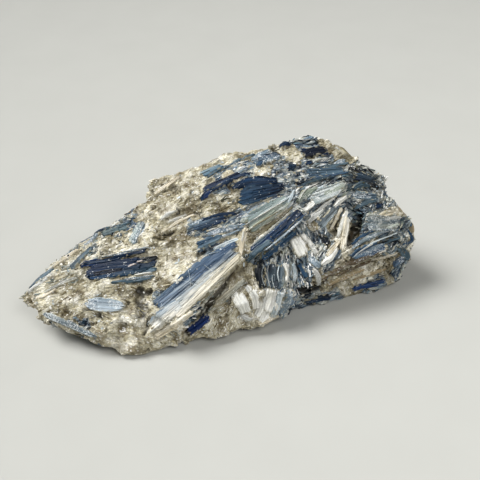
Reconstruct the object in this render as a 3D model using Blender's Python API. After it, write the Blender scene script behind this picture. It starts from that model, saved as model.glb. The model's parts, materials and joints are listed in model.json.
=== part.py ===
"""Kyanite blade cluster: one mica and quartz stone with blue kyanite blades grown in it.

Run with: blender --background --python part.py
Metres, +Z up. +X runs along the stone to its blunt end, and +Y runs to its back.
The origin is the middle of the box that the specimen fills, on the surface that it lies on.
The numbers below are millimetres until MM turns them to metres.
"""

import math
import random
from collections import namedtuple

import bmesh
import bpy
import numpy as np
from mathutils import Matrix, Vector, noise

MM = 0.001
SPECIMEN = "kyanite_blade_cluster"

# The stone is drawn by rails, which are lines that run from its thin left tip to its blunt right end.
# Each is a list of (x, y, z). Between two rails the skin is straight, as a broken face is.
# The rails go round the stone: under the front, up the face, over the ridge and down the back.
RAILS = {
    "front_keel": [(-47.5, -14.2, 8.2), (-36, -15.5, 3.5), (-27, -20, 0.5), (-20, -23, 0), (-11, -19, 0),
                   (7, -14.5, 0), (20, -7.5, 0), (36, -2.5, 0), (46, 0.5, 1), (50.5, 4, 9)],
    "rim": [(-47.6, -14.4, 8.4), (-37.5, -20.5, 6.5), (-28, -23.5, 3.5), (-21, -25, 0.7), (-16, -25, 0.7),
            (-11.5, -22.5, 1.6), (-3, -21, 2), (6.5, -18, 2.6), (16, -15.7, 3.4), (19, -11.5, 2),
            (21, -9.5, 1), (29.5, -6, 0.6), (36.5, -4, 0.8), (46, -1, 2.2), (49.2, 2, 6.5), (50.5, 3.8, 10)],
    "undercut": [(-47.6, -14.4, 8.8), (-37.5, -19.5, 8), (-28, -22, 6), (-21, -24, 3), (-16, -24, 3),
                 (-11, -20.5, 6), (-3, -18, 7), (6.5, -15, 8.5), (14, -14.2, 6.6), (18, -12.2, 5),
                 (20.5, -8.8, 4.6), (28, -4.4, 6.6), (33, -1.6, 7.2), (39, 1, 7.6), (46, 2, 8.5),
                 (50.5, 4, 11.5)],
    "ledge": [(-47.5, -14.3, 9.1), (-37.5, -18, 9.3), (-28, -19.5, 8.8), (-17.5, -19.5, 7.5), (-11, -17, 11),
              (-4, -13, 14), (5.5, -10.5, 14), (9, -12, 11.5), (14, -13, 10), (18, -13, 9), (20, -11.2, 9.8),
              (24, -9.7, 11), (27.5, -8, 12.3), (32.5, -5, 13.6), (38.5, -1, 14), (46, 1.7, 12.8),
              (50.5, 4, 12.8)],
    "brow": [(-47.5, -14.2, 9.3), (-38, -15, 11), (-28, -14.3, 12), (-18.5, -12, 13), (-14, -7.5, 17),
             (-4.5, -3.5, 20), (5.5, 0, 22), (18, 3.5, 24), (28, 3.5, 23.6), (35.5, 2, 19),
             (46, 3, 15.2), (50.5, 4.6, 13.6)],
    "shoulder": [(-47.5, -14.1, 9.4), (-38, -10.5, 12.5), (-29, -5.5, 15.5), (-20.5, -1, 18),
                 (-17, 0.5, 19.5), (-13, 3.5, 24), (-4.5, 7, 26), (5.5, 8, 28.5), (18, 9, 30),
                 (25.5, 10, 30), (33, 8.5, 28), (40.5, 6, 22), (46, 4.5, 17), (50.5, 5, 14)],
    "ridge": [(-47.5, -14, 9.5), (-41.5, -5.5, 12), (-35, 0.5, 14.5), (-28.5, 3, 16.5), (-22, 7, 18.5),
              (-18.6, 10.5, 19.5), (-17.6, 11, 25), (-13.5, 12, 26), (-7, 14.5, 28), (2, 17.5, 30),
              (9.5, 17.5, 32), (18, 18, 34), (24, 19, 34.5), (29.5, 16, 33.5), (34, 13, 31.5),
              (41.5, 10, 27), (42.8, 7.5, 24), (46, 6.5, 20), (49, 6.5, 17), (50.5, 5.4, 14)],
    "back_shoulder": [(-47.5, -13.8, 9.2), (-35, 4.5, 10.5), (-18.5, 15, 13), (-17.5, 16, 17.5),
                      (2, 22.5, 21), (24, 24.5, 24), (41.5, 16, 18.5), (47, 11, 14), (50.5, 6, 12.6)],
    "back_foot": [(-47.5, -13.8, 8.8), (-35, 3, 5.5), (-18, 16, 5), (2, 23.5, 6), (24, 25.5, 8),
                  (41, 18, 6.5), (47, 11.5, 7), (50.5, 6, 10.5)],
    "back_keel": [(-47.5, -14, 8.2), (-35, -3, 2), (-18, 11, 0), (2, 19, 0), (24, 21, 0),
                  (41, 13, 0), (47, 8, 3), (50.5, 5, 9)],
}
RAIL_ORDER = list(RAILS)
LEFT, RIGHT = RAILS["rim"][0][0], RAILS["rim"][-1][0]
# How far each pointed end stands out past the last ring of points.
TIP = 0.8
# How many strips the skin has from each rail to the next one, in the same order.
STRIPS = (2, 2, 3, 5, 5, 5, 5, 4, 2, 3)
# How many stretches it has along X, and how much they crowd towards the two ends.
STATIONS = 56
CROWDING = 0.06

# Relief of the broken skin: size of a swell across the surface and its height.
SWELLS = ((11.0, 0.5), (4.5, 0.5), (2.2, 0.35))
# Lumps (height over 0) and pits (under 0) that stand out: x, turn, radius, height.
# A turn is a place round the stone: 0 on the first rail, 1 on the second, and so on.
LUMPS = (
    (-16.0, 5.8, 3.0, 0.5),
    (-18.0, 3.55, 2.2, -2.2),
    (-13.0, 4.75, 2.4, -1.4),
    (22.0, 2.3, 2.6, -1.2),
    (33.0, 4.1, 3.0, -2.4),
    (31.5, 3.45, 2.4, -1.6),
    (-19.0, 1.6, 5.0, 0.9),
    (14.5, 5.75, 1.6, -1.0),
    (-27.0, 3.3, 4.5, 0.8),
)

# The relief is a share of its full height at the ground, and none at the two ends.
# These are the heights and lengths over which it grows to its full height.
GROUND_SHARE, GROUND_FADE = 0.25, 4.0
LEFT_FADE, RIGHT_FADE = 18.0, 6.0

# Flat laths of stone lie along the grain: the length and width of one, and their difference in height.
GRAIN = (0.84, 0.44, 0.3)
LATH_LENGTH, LATH_WIDTH, LATH_STEP = 10.0, 3.0, 2.0
# Stretches the middles of the laths apart, so that two neighbours seldom get the same height.
SHUFFLE = 7

# What is lower than this is level with the surface that the stone lies on.
LEVEL_BELOW = 0.2

# The space between a crystal and the stone round it, which is wider at its slanted ends, and how far
# a pocket is open over its crystal.
GAP, END_GAP = 0.3, 0.39
OPENING = 4.0
# The laths on a crystal's face: the furrow between two, the narrow rim outside them, how deep they
# are rooted, the least and most that they rise, and how far past the middle they reach, as a share.
GROOVE, RIM, ROOT = 0.16, 0.12, 0.2
LATH_RISE = (0.25, 0.9)
LATH_REACH = (0.0, 0.4)
# How far round a crystal the stone is drawn level with it, from how far over or under it, and how
# nearly the stone has to face the same way.
SEAT = 1.6
REACH = 2.4
SAME_WAY = 0.7

CRYSTAL_ROUGHNESS, STONE_ROUGHNESS = 0.3, 0.75
NAVY = (0.012, 0.026, 0.13)
BLUE = (0.07, 0.15, 0.37)
SLATE = (0.17, 0.25, 0.36)
PALE = (0.36, 0.46, 0.56)
TEAL = (0.05, 0.12, 0.17)
WHITE = (0.68, 0.7, 0.7)
CREAM = (0.52, 0.49, 0.42)

# A crystal lies along the skin between two places, each given as (x, turn).
# proud is how far its face stands out of the stone, and thick is its whole thickness.
# taper is the share of its width that is left at the far end, and roll turns it about its length.
# slant is how obliquely its ends are cut.
Blade = namedtuple("Blade", "name start end width taper slant thick proud roll laths colour")
BLADES = (
    Blade("long_blade", (-12.8, 2.52), (5.2, 3.38), 7.2, 0.65, -0.3, 4.6, 1.2, -20, 4, BLUE),
    Blade("fan_blade", (6.8, 3.84), (18.0, 4.19), 5.6, 0.45, 0.4, 3.0, 0.8, -4, 4, PALE),
    Blade("deep_blue_blade", (8.2, 3.43), (21.0, 3.93), 3.2, 1.0, -0.3, 4.0, 1.7, -12, 3, NAVY),
    Blade("silver_blade", (22.6, 4.12), (31.2, 4.7), 4.0, 0.8, 0.4, 2.8, 0.9, 0, 3, SLATE),
    Blade("crown_blade", (4.6, 4.58), (17.2, 4.6), 6.6, 0.4, 0.3, 2.8, 0.5, 6, 3, NAVY),
    Blade("dark_rim_blade", (-4.2, 4.96), (6.4, 5.2), 2.2, 0.8, 0.1, 2.4, 0.4, 0, 2, NAVY),
    Blade("slate_blade", (-6.8, 4.25), (2.6, 4.15), 2.8, 0.8, 0.1, 2.0, 0.4, 0, 2, SLATE),
    Blade("short_blade", (-5.4, 3.78), (1.6, 3.8), 2.6, 0.7, 0.0, 2.2, 0.5, -8, 2, SLATE),
    Blade("left_dark_blade", (-32.6, 4.8), (-14.4, 3.95), 5.6, 0.8, 0.4, 2.8, -0.3, 0, 4, NAVY),
    Blade("pale_end", (-31.8, 3.46), (-21.6, 3.3), 4.2, 0.75, 0.1, 2.6, 0.6, 0, 3, PALE),
    Blade("navy_prism", (-7.4, 1.47), (-1.5, 2.0), 2.6, 0.9, 0.2, 2.6, 0.9, 0, 1, NAVY),
    Blade("crack_lath", (-1.2, 2.1), (7.0, 2.92), 2.0, 0.8, 0.3, 2.2, 0.5, 0, 2, SLATE),
    Blade("dark_block", (13.9, 3.37), (13.7, 3.0), 5.4, 0.9, 0.1, 3.4, 1.2, 0, 4, TEAL),
    Blade("white_blade", (19.5, 3.62), (20.4, 3.36), 3.4, 0.8, -0.2, 2.6, 1.0, 0, 2, WHITE),
    Blade("white_lath", (14.2, 2.58), (13.4, 1.7), 2.0, 0.8, 0.3, 2.2, 0.9, 0, 2, WHITE),
    Blade("pale_lath", (18.3, 2.86), (17.2, 1.9), 2.2, 0.8, -0.3, 2.0, 0.7, 0, 2, PALE),
    Blade("ledge_blade", (33.0, 2.98), (42.0, 3.06), 3.2, 0.8, -0.3, 3.0, 1.0, -14, 3, BLUE),
    Blade("right_bundle", (36.2, 4.05), (46.0, 4.75), 5.0, 0.8, -0.1, 3.2, 0.6, 0, 4, SLATE),
    Blade("top_navy_blade", (20.4, 5.5), (28.2, 5.62), 3.0, 0.8, -0.2, 2.4, 0.5, 0, 2, NAVY),
    Blade("upper_slate_blade", (21.6, 4.86), (31.6, 5.2), 2.8, 0.7, -0.2, 2.2, 0.6, 0, 3, SLATE),
    Blade("upper_dark_blade", (33.8, 5.35), (40.4, 5.8), 3.2, 0.7, 0.3, 2.4, 0.2, 0, 3, NAVY),
    Blade("right_slate_blade", (33.0, 4.6), (40.4, 5.25), 2.6, 0.8, 0.0, 2.0, 0.5, 0, 2, SLATE),
    Blade("speckled_blade", (24.6, 3.66), (29.8, 4.06), 2.6, 0.8, 0.3, 2.2, 0.7, 0, 2, SLATE),
    Blade("cream_rib", (31.8, 4.0), (30.4, 3.22), 2.0, 0.8, 0.1, 2.4, 1.0, 0, 2, WHITE),
    Blade("top_small_blade", (16.8, 5.1), (20.0, 5.2), 2.0, 0.8, 0.3, 2.0, 0.4, 0, 2, NAVY),
    Blade("right_end_blade", (44.4, 1.75), (48.4, 1.65), 2.4, 0.8, 0.2, 2.0, 0.4, 0, 2, SLATE),
    Blade("base_blade", (33.8, 1.25), (43.5, 1.2), 1.8, 0.8, -0.3, 2.0, 0.5, 0, 1, NAVY),
    Blade("dark_base_blade", (21.4, 1.3), (29.0, 1.3), 1.8, 0.8, -0.4, 2.0, 0.4, 0, 1, TEAL),
    Blade("left_top_blade", (-29.5, 5.85), (-22.0, 5.5), 2.4, 0.8, -0.2, 2.2, 0.4, 0, 2, TEAL),
    Blade("left_teal_blade", (-21.4, 4.8), (-18.8, 5.3), 3.0, 0.8, 0.2, 2.2, 0.4, 0, 2, TEAL),
    Blade("left_slate_blade", (-36.4, 5.1), (-30.6, 5.5), 2.4, 0.7, 0.3, 2.0, 0.4, 0, 2, SLATE),
    Blade("upper_blue_blade", (7.8, 5.52), (16.2, 5.54), 3.6, 0.8, -0.2, 2.4, 0.3, 0, 3, BLUE),
    Blade("upper_teal_blade", (-4.6, 5.5), (1.6, 5.62), 2.6, 0.8, -0.2, 2.2, 0.4, 0, 2, TEAL),
    Blade("rim_blade", (-42.0, 1.5), (-28.5, 1.5), 1.8, 0.9, -0.2, 1.6, 0.5, 0, 2, SLATE),
    Blade("back_long_blade", (-9.0, 7.2), (12.0, 6.7), 5.2, 0.7, 0.2, 3.0, 0.4, 0, 4, BLUE),
    Blade("back_navy_blade", (15.0, 7.5), (32.0, 6.9), 4.6, 0.8, -0.4, 2.8, 0.3, 0, 3, NAVY),
    Blade("back_left_blade", (-34.0, 7.3), (-20.0, 6.8), 3.4, 0.8, -0.4, 2.4, 0.3, 0, 3, BLUE),
    Blade("back_low_blade", (-4.0, 8.0), (10.0, 7.8), 3.6, 0.8, -0.4, 2.4, 0.3, 0, 3, SLATE),
    Blade("back_pale_blade", (18.0, 8.3), (31.0, 8.0), 3.4, 0.8, 0.2, 2.4, 0.3, 0, 3, PALE),
    Blade("back_end_blade", (36.0, 7.9), (44.5, 7.3), 2.8, 0.8, 0.2, 2.2, 0.4, 0, 2, NAVY),
    Blade("under_long_blade", (-6.0, 9.6), (17.0, 9.35), 5.0, 0.8, -0.1, 2.4, -1.3, 0, 3, BLUE),
    Blade("under_small_blade", (24.0, 9.45), (35.0, 9.3), 3.4, 0.8, 0.1, 2.2, -1.3, 0, 2, NAVY),
)


def section(rail, x):
    """The (y, z) of a rail where it crosses x."""
    points = np.array(RAILS[rail], float)
    return np.interp(x, points[:, 0], points[:, 1]), np.interp(x, points[:, 0], points[:, 2])


def skin(x, turn):
    """The point of the smooth skin at x and at a turn round the stone."""
    first = int(math.floor(turn)) % len(RAIL_ORDER)
    second = (first + 1) % len(RAIL_ORDER)
    share = turn - math.floor(turn)
    y_0, z_0 = section(RAIL_ORDER[first], x)
    y_1, z_1 = section(RAIL_ORDER[second], x)
    return Vector((x, y_0 + (y_1 - y_0) * share, z_0 + (z_1 - z_0) * share))


def outward(x, turn, reach=1.6, spread=0.3):
    """The direction that the skin faces at x and turn, averaged over a small patch."""
    along = skin(x + reach, turn) - skin(x - reach, turn)
    around = skin(x, turn + spread) - skin(x, turn - spread)
    return along.cross(around).normalized()


def axes(along, near):
    """A rotation whose X runs along one direction and whose Z is as near as it can be to another."""
    along = Vector(along).normalized()
    out = (Vector(near) - along * along.dot(Vector(near))).normalized()
    return Matrix((along, out.cross(along), out)).transposed()


TO_GRAIN = axes(GRAIN, (0, -0.5, 1)).inverted()


def relief(point):
    """How far the broken surface stands out from the smooth skin at a point."""
    height = 0.0
    for size, amount in SWELLS:
        height += amount * noise.fractal(point / size, 1.0, 2.0, 2)
    along, across, out = TO_GRAIN @ point
    _, laths = noise.voronoi(Vector((along / LATH_LENGTH, across / LATH_WIDTH, out / LATH_WIDTH)))
    height += LATH_STEP / 2 * noise.cell(laths[0] * SHUFFLE)
    for x, turn, radius, amount in LUMPS:
        away = (point - skin(x, turn)).length / radius
        height += amount * math.exp(-away * away)
    return height


def seat(blade):
    """Where a crystal sits: a matrix with X along it and Z out of the stone, and its length."""
    start, end = skin(*blade.start), skin(*blade.end)
    x, turn = (blade.start[0] + blade.end[0]) / 2, (blade.start[1] + blade.end[1]) / 2
    middle = ((start + end) / 2 + skin(x, turn)) / 2
    facing = axes(end - start, outward(x, turn)).to_4x4()
    place = Matrix.Translation(middle) @ facing @ Matrix.Rotation(math.radians(blade.roll), 4, "X")
    return place, (end - start).length


SEATS = {blade.name: seat(blade) for blade in BLADES}


def level_with_blades(foot, lift, height):
    """The height over the skin that draws the stone level with each crystal close to a point.

    foot is the point of the skin, and lift is the direction in which height raises the surface.
    """
    for blade in BLADES:
        place, length = SEATS[blade.name]
        inverse = place.inverted()
        local = inverse @ (foot + lift * height)
        rise = (inverse.to_3x3() @ lift).z
        beside = max(abs(local.x) - length / 2, abs(local.y) - blade.width / 2, 0)
        if beside < SEAT and abs(local.z) < REACH and rise > SAME_WAY:
            share = min(1.0, 2 - 2 * abs(local.z) / REACH)
            height -= local.z / rise * (1 - beside / SEAT) * share
    return height


def surface(x, turn):
    """The point of the stone's broken surface at x and turn, no lower than what it lies on."""
    foot = skin(x, turn)
    # Points move only across the stone, so that the rings of points never cross each other.
    lift = outward(x, turn)
    lift.x = 0.0
    lift.normalize()
    from_ends = min((x - LEFT - TIP) / LEFT_FADE, (RIGHT - TIP - x) / RIGHT_FADE)
    share = min(1.0, GROUND_SHARE + foot.z / GROUND_FADE, from_ends)
    height = level_with_blades(foot, lift, relief(foot) * share)
    point = foot + lift * height
    if point.z < LEVEL_BELOW:
        point.z = 0.0
    return point * MM


def add_mesh(name, shape, collection):
    """Makes a named object from a bmesh."""
    bmesh.ops.recalc_face_normals(shape, faces=shape.faces)
    mesh = bpy.data.meshes.new(name)
    shape.to_mesh(mesh)
    shape.free()
    thing = bpy.data.objects.new(name, mesh)
    collection.objects.link(thing)
    return thing


def paint(thing, colour, roughness):
    """Gives an object its own plain material."""
    material = bpy.data.materials.new(thing.name)
    material.use_nodes = True
    shader = material.node_tree.nodes["Principled BSDF"]
    shader.inputs["Base Color"].default_value = (*colour, 1)
    shader.inputs["Roughness"].default_value = roughness
    thing.data.materials.clear()
    thing.data.materials.append(material)


def middle_of(ring):
    """The middle of a ring of vertices."""
    return sum((vertex.co for vertex in ring), Vector()) / len(ring)


def loft_stone(collection):
    """The stone before its pockets are cut: rings of points along X, joined by strips of faces."""
    turns = [rail + step / count for rail, count in enumerate(STRIPS) for step in range(count)]
    shape = bmesh.new()
    rings = []
    for station in range(STATIONS + 1):
        share = station / STATIONS
        share -= CROWDING * math.sin(2 * math.pi * share)
        x = LEFT + TIP + (RIGHT - LEFT - 2 * TIP) * share
        rings.append([shape.verts.new(surface(x, turn)) for turn in turns])
    beyond = [*range(1, len(turns)), 0]
    for ring, following in zip(rings, rings[1:]):
        for here, there in enumerate(beyond):
            shape.faces.new((ring[here], ring[there], following[there], following[here]))
    for ring, push in ((rings[0], -TIP), (rings[-1], TIP)):
        point = shape.verts.new(middle_of(ring) + Vector((push * MM, 0, 0)))
        for here, there in enumerate(beyond):
            shape.faces.new((ring[here], ring[there], point))
    bmesh.ops.triangulate(shape, faces=shape.faces)
    return add_mesh("host_stone", shape, collection)


def add_bar(shape, blade, length, u_range, v_range, z_range):
    """Adds a flat bar to a bmesh, in the outline of a blade.

    u runs along the blade and v across it, each from -0.5 to 0.5. The far end is narrower by the
    blade's taper, and the ends are cut at its slant.
    """
    made = bmesh.ops.create_cube(shape, size=1.0)
    for corner in made["verts"]:
        u, v, z = (pair[part > 0] for pair, part in zip((u_range, v_range, z_range), corner.co))
        across = v * blade.width * (1 + (blade.taper - 1) * (u + 0.5))
        corner.co = Vector((u * length + across * blade.slant, across, z)) * MM


def apply_boolean(thing, operation, **operand):
    """Adds an exact Boolean to an object and keeps its result as the object's mesh."""
    modifier = thing.modifiers.new(operation.lower(), "BOOLEAN")
    modifier.operation = operation
    modifier.solver = "EXACT"
    for setting, value in operand.items():
        setattr(modifier, setting, value)
    evaluated = thing.evaluated_get(bpy.context.evaluated_depsgraph_get())
    mesh = bpy.data.meshes.new_from_object(evaluated)
    thing.modifiers.clear()
    thing.data = mesh


def grow_blade(blade, collection, cutters):
    """A crystal with stepped laths on its face, and the cutter of the pocket that it lies in."""
    chance = random.Random(blade.name)
    place, length = SEATS[blade.name]
    bottom, top = blade.proud - blade.thick, blade.proud

    shape = bmesh.new()
    add_bar(shape, blade, length, (-0.5, 0.5), (-0.5, 0.5), (bottom, top))
    crystal = add_mesh(blade.name, shape, collection)

    laths = bmesh.new()
    groove, edge = GROOVE / blade.width, RIM / blade.width - 0.5
    pitch = -2 * edge / blade.laths
    for number in range(blade.laths):
        side = edge + pitch * number
        ends = [RIM / length - 0.5, chance.uniform(*LATH_REACH)]
        if chance.random() < 0.5:
            ends = [-end for end in reversed(ends)]
        height = top + chance.uniform(*LATH_RISE)
        add_bar(laths, blade, length, ends, (side + groove, side + pitch), (top - ROOT, height))
    lath_object = add_mesh(blade.name + "_laths", laths, cutters)
    apply_boolean(crystal, "UNION", object=lath_object)
    bpy.data.objects.remove(lath_object)
    crystal.matrix_world = Matrix.Translation(place.translation * MM) @ place.to_3x3().to_4x4()
    paint(crystal, blade.colour, CRYSTAL_ROUGHNESS)

    pocket = bmesh.new()
    grown_u, grown_v = 0.5 + END_GAP / length, 0.5 + GAP / (blade.width * blade.taper)
    add_bar(pocket, blade, length, (-grown_u, grown_u), (-grown_v, grown_v), (bottom - GAP, top + OPENING))
    cutter = add_mesh(blade.name + "_pocket", pocket, cutters)
    cutter.matrix_world = crystal.matrix_world
    cutter.hide_render = True
    cutter.display_type = "WIRE"
    return crystal


def keep_largest(thing):
    """Drops the chips that the pockets have cut loose from a mesh."""
    shape = bmesh.new()
    shape.from_mesh(thing.data)
    islands = []
    unseen = set(shape.verts)
    while unseen:
        island, front = set(), [unseen.pop()]
        while front:
            vertex = front.pop()
            island.add(vertex)
            near = {edge.other_vert(vertex) for edge in vertex.link_edges} & unseen
            unseen -= near
            front.extend(near)
        islands.append(island)
    islands.sort(key=len)
    loose = [vertex for island in islands[:-1] for vertex in island]
    bmesh.ops.delete(shape, geom=loose, context="VERTS")
    shape.to_mesh(thing.data)
    shape.free()


def stand_on_origin(things):
    """Moves everything so that the origin is the middle of the box it fills, at the lowest height."""
    corners = [thing.matrix_world @ vertex.co for thing in things for vertex in thing.data.vertices]
    low = [min(corner[axis] for corner in corners) for axis in range(3)]
    high = [max(corner[axis] for corner in corners) for axis in range(3)]
    shift = Vector(((low[0] + high[0]) / 2, (low[1] + high[1]) / 2, low[2]))
    for thing in things:
        thing.location -= shift


def main():
    for thing in list(bpy.data.objects):
        bpy.data.objects.remove(thing)
    specimen = bpy.data.collections.new(SPECIMEN)
    cutters = bpy.data.collections.new("pocket_cutters")
    for collection in (specimen, cutters):
        bpy.context.scene.collection.children.link(collection)

    crystals = [grow_blade(blade, specimen, cutters) for blade in BLADES]
    stone = loft_stone(specimen)
    bpy.context.view_layer.update()
    apply_boolean(stone, "DIFFERENCE", operand_type="COLLECTION", collection=cutters)
    keep_largest(stone)
    paint(stone, CREAM, STONE_ROUGHNESS)
    stand_on_origin([stone, *crystals])


main()
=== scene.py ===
# %% [markdown]
# # A cluster of kyanite blades
# Kyanite grows as long flat blades in mica schist, a rock of quartz and glittering mica. This lesson
# dresses the solid model of one hand specimen: the rough stone, the blades in its skin, and the
# thousands of small laths and mica flakes that make it sparkle.
#
# The solid model comes first. It says where every piece is, so nothing here has to be fitted.

# %% Load the solid model
import json
import math
import random
from collections import namedtuple

import bmesh
import bpy
import numpy as np
from mathutils import Matrix, Vector, noise
from mathutils.bvhtree import BVHTree


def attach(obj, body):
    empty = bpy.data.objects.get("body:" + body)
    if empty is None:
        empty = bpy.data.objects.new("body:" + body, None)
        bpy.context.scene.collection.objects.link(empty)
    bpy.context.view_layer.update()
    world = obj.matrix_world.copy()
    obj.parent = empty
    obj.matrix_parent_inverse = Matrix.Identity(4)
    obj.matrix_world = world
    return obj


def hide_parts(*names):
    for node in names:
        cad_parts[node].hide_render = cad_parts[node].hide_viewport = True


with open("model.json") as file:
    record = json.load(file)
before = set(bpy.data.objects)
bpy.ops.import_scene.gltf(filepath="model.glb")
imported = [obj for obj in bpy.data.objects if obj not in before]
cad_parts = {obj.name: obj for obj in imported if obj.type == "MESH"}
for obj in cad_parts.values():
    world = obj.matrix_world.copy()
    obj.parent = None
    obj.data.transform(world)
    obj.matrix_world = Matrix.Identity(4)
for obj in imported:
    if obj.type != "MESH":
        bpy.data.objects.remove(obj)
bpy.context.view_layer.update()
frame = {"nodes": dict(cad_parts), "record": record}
MM = 0.001
BLADES = [name for name in frame["nodes"] if name != "host_stone"]
print("the frame holds", len(BLADES), "blades and one stone")

# %% [markdown]
# ## The camera
# The camera comes early, because many small features are placed by where they lie in its square
# picture of 480 by 480. It looks down at 40 degrees, from as far as a hand holds a telephone.

# %% Make the camera
PICTURE = 480
ELEVATION = math.radians(40)
DISTANCE = 203 * MM
TARGET = Vector((4.05, 1.4, 14.0)) * MM
LENS, SENSOR = 60.0, 36.0

camera_data = bpy.data.cameras.new("camera")
camera_data.lens = LENS
camera_data.sensor_width = SENSOR
camera_data.clip_start = 5 * MM
camera = bpy.data.objects.new("camera", camera_data)
bpy.context.scene.collection.objects.link(camera)
camera.rotation_euler = (math.pi / 2 - ELEVATION, 0, 0)
camera.location = TARGET + Vector((0, -math.cos(ELEVATION), math.sin(ELEVATION))) * DISTANCE
bpy.context.scene.camera = camera
bpy.context.view_layer.update()
RIGHT, UP, BACKWARD = (Vector(axis) for axis in camera.matrix_world.to_3x3().transposed())


def sight(px, py):
    """The direction in which the camera looks through a place in its picture."""
    half = SENSOR / 2 / LENS
    across, up = (2 * px / PICTURE - 1) * half, (1 - 2 * py / PICTURE) * half
    return (RIGHT * across + UP * up - BACKWARD).normalized()


print("the camera stands at", [round(value / MM, 1) for value in camera.location], "mm")

# %% [markdown]
# ## Small helpers
# Colours are easiest to choose as the hex values that a colour picker shows. Blender works with
# linear light, so one function turns them. Another adds a node to a tree, with its settings and its
# links, and serves shader trees and geometry trees alike.

# %% Colours and nodes
MATH, VECTOR_MATH, SPLIT = "ShaderNodeMath", "ShaderNodeVectorMath", "ShaderNodeSeparateXYZ"


def linear(code):
    """Turns an sRGB hex colour into linear red, green, blue and alpha."""
    parts = [int(code[start:start + 2], 16) / 255 for start in (1, 3, 5)]
    light = [part / 12.92 if part <= 0.04045 else ((part + 0.055) / 1.055) ** 2.4 for part in parts]
    return (*light, 1.0)


def add(tree, kind, inputs=(), stops=(), **settings):
    """Adds a node, changes its settings, and fills its inputs with values or with links.

    Inputs are given by name or number, or as a row of values for the first sockets, such as the value
    of a Map Range node, the range it comes from and the range it becomes. A node given as a value is
    linked by its first output. A colour ramp is given its stops and holds each colour up to the next.
    """
    made = tree.nodes.new(kind)
    for setting, value in settings.items():
        setattr(made, setting, value)
    for number, (position, colour) in enumerate(stops):
        made.color_ramp.interpolation = "CONSTANT"
        stop = made.color_ramp.elements[number] if number < 2 else made.color_ramp.elements.new(position)
        stop.position, stop.color = position, colour
    for socket, value in inputs.items() if isinstance(inputs, dict) else enumerate(inputs):
        if isinstance(value, bpy.types.Node):
            value = value.outputs[0]
        if isinstance(value, bpy.types.NodeSocket):
            tree.links.new(value, made.inputs[socket])
        else:
            made.inputs[socket].default_value = value
    return made


def new_object(name, mesh):
    """Puts a mesh in the scene as an object at the origin."""
    made = bpy.data.objects.new(name, mesh)
    bpy.context.scene.collection.objects.link(made)
    return made


def set_attribute(mesh, name, kind, domain, values):
    """Stores one value for each vertex, face or corner of a mesh."""
    attribute = mesh.attributes.new(name, kind, domain)
    field = {"FLOAT": "value", "INT": "value", "FLOAT_VECTOR": "vector", "FLOAT_COLOR": "color"}[kind]
    attribute.data.foreach_set(field, np.asarray(values, np.float32 if kind != "INT" else np.int32).ravel())


def baked(thing):
    """The mesh of an object with its modifiers applied."""
    evaluated = thing.evaluated_get(bpy.context.evaluated_depsgraph_get())
    return bpy.data.meshes.new_from_object(evaluated)


print("#808080 is", round(linear("#808080")[0], 2), "of the light of white")

# %% [markdown]
# ## Where each blade lies
# A blade in the solid model is a flat bar with stepped laths on its upper face. Its underside is one
# plain four-sided face. That face gives all that the finished blade needs: its length, its width, its
# taper and the way it faces. The side with the most facets is the one with the laths, and the
# underside faces the opposite way.

# %% Read the blades from the frame
Bar = namedtuple("Bar", "corners out top solid")
# Points this close are one point. Normals with this cosine between them point one way. Ends this alike
# are equally wide. A plain bar is at least this thick.
SAME_PLACE = 0.001 * MM
SAME_WAY = 0.9995
SAME_WIDTH = 0.02 * MM
THINNEST_BAR = 0.5 * MM


def merged(name):
    """A node's mesh as a bmesh with its loose triangles joined."""
    shape = bmesh.new()
    shape.from_mesh(frame["nodes"][name].data)
    bmesh.ops.remove_doubles(shape, verts=shape.verts, dist=SAME_PLACE)
    shape.normal_update()
    return shape


def facing(shape, direction):
    """The faces of a bmesh that face one way."""
    return [face for face in shape.faces if face.normal.dot(direction) > SAME_WAY]


def read_bar(name):
    """The four corners of a blade's underside, the way it faces, and how thick its plain bar is.

    The corners are the low and the high one of its start, then those of its end. The end is narrower,
    or on the right where both are alike. The high side is on the left when one looks along the blade.
    """
    shape = merged(name)
    busiest = max(shape.faces, key=lambda face: len(facing(shape, face.normal)))
    out = busiest.normal.copy()
    base = list(dict.fromkeys(vertex for face in facing(shape, -out) for vertex in face.verts))
    middle = sum((vertex.co for vertex in base), Vector()) / len(base)
    ahead = base[0].co - middle
    aside = out.cross(ahead)
    arms = [vertex.co - middle for vertex in base]
    arms.sort(key=lambda arm: math.atan2(arm.dot(aside), arm.dot(ahead)))
    ring = [middle + arm for arm in arms]
    if (ring[1] - ring[0]).length + (ring[3] - ring[2]).length > (ring[2] - ring[1]).length * 2:
        ring = ring[1:] + ring[:1]
    widening = (ring[3] - ring[2]).length - (ring[1] - ring[0]).length
    if widening > SAME_WIDTH or (abs(widening) < SAME_WIDTH and ring[0].x > ring[2].x):
        ring = ring[2:] + ring[:2]
    tops = sorted((vertex.co - middle).dot(out) for vertex in shape.verts)
    plain_top = next(height for height in tops if height > THINNEST_BAR)
    solid = BVHTree.FromBMesh(shape)
    shape.free()
    start_high, start_low, end_low, end_high = ring
    return Bar((start_low, start_high, end_low, end_high), out, plain_top, solid)


def on_bar(bar, u, v, height=0.0):
    """The point of a bar at u along it and v across it, each from 0 to 1, and a height."""
    start = bar.corners[0].lerp(bar.corners[1], v)
    end = bar.corners[2].lerp(bar.corners[3], v)
    return start.lerp(end, u) + bar.out * height


bars = {name: read_bar(name) for name in BLADES}
for name in ("long_blade", "dark_block", "navy_prism"):
    low, high = on_bar(bars[name], 0, 0.5), on_bar(bars[name], 1, 0.5)
    width = (bars[name].corners[1] - bars[name].corners[0]).length
    print(name, "is", round((high - low).length / MM, 1), "mm long and", round(width / MM, 1), "mm wide")

# %% [markdown]
# ## The stone's skin
# The solid stone has a pocket under each blade and flat facets between a few hundred points. Real
# rock has no pockets and no facets. A block fills each pocket up to a little under its blade, and a
# voxel remesh melts stone and blocks into one even skin.

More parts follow.
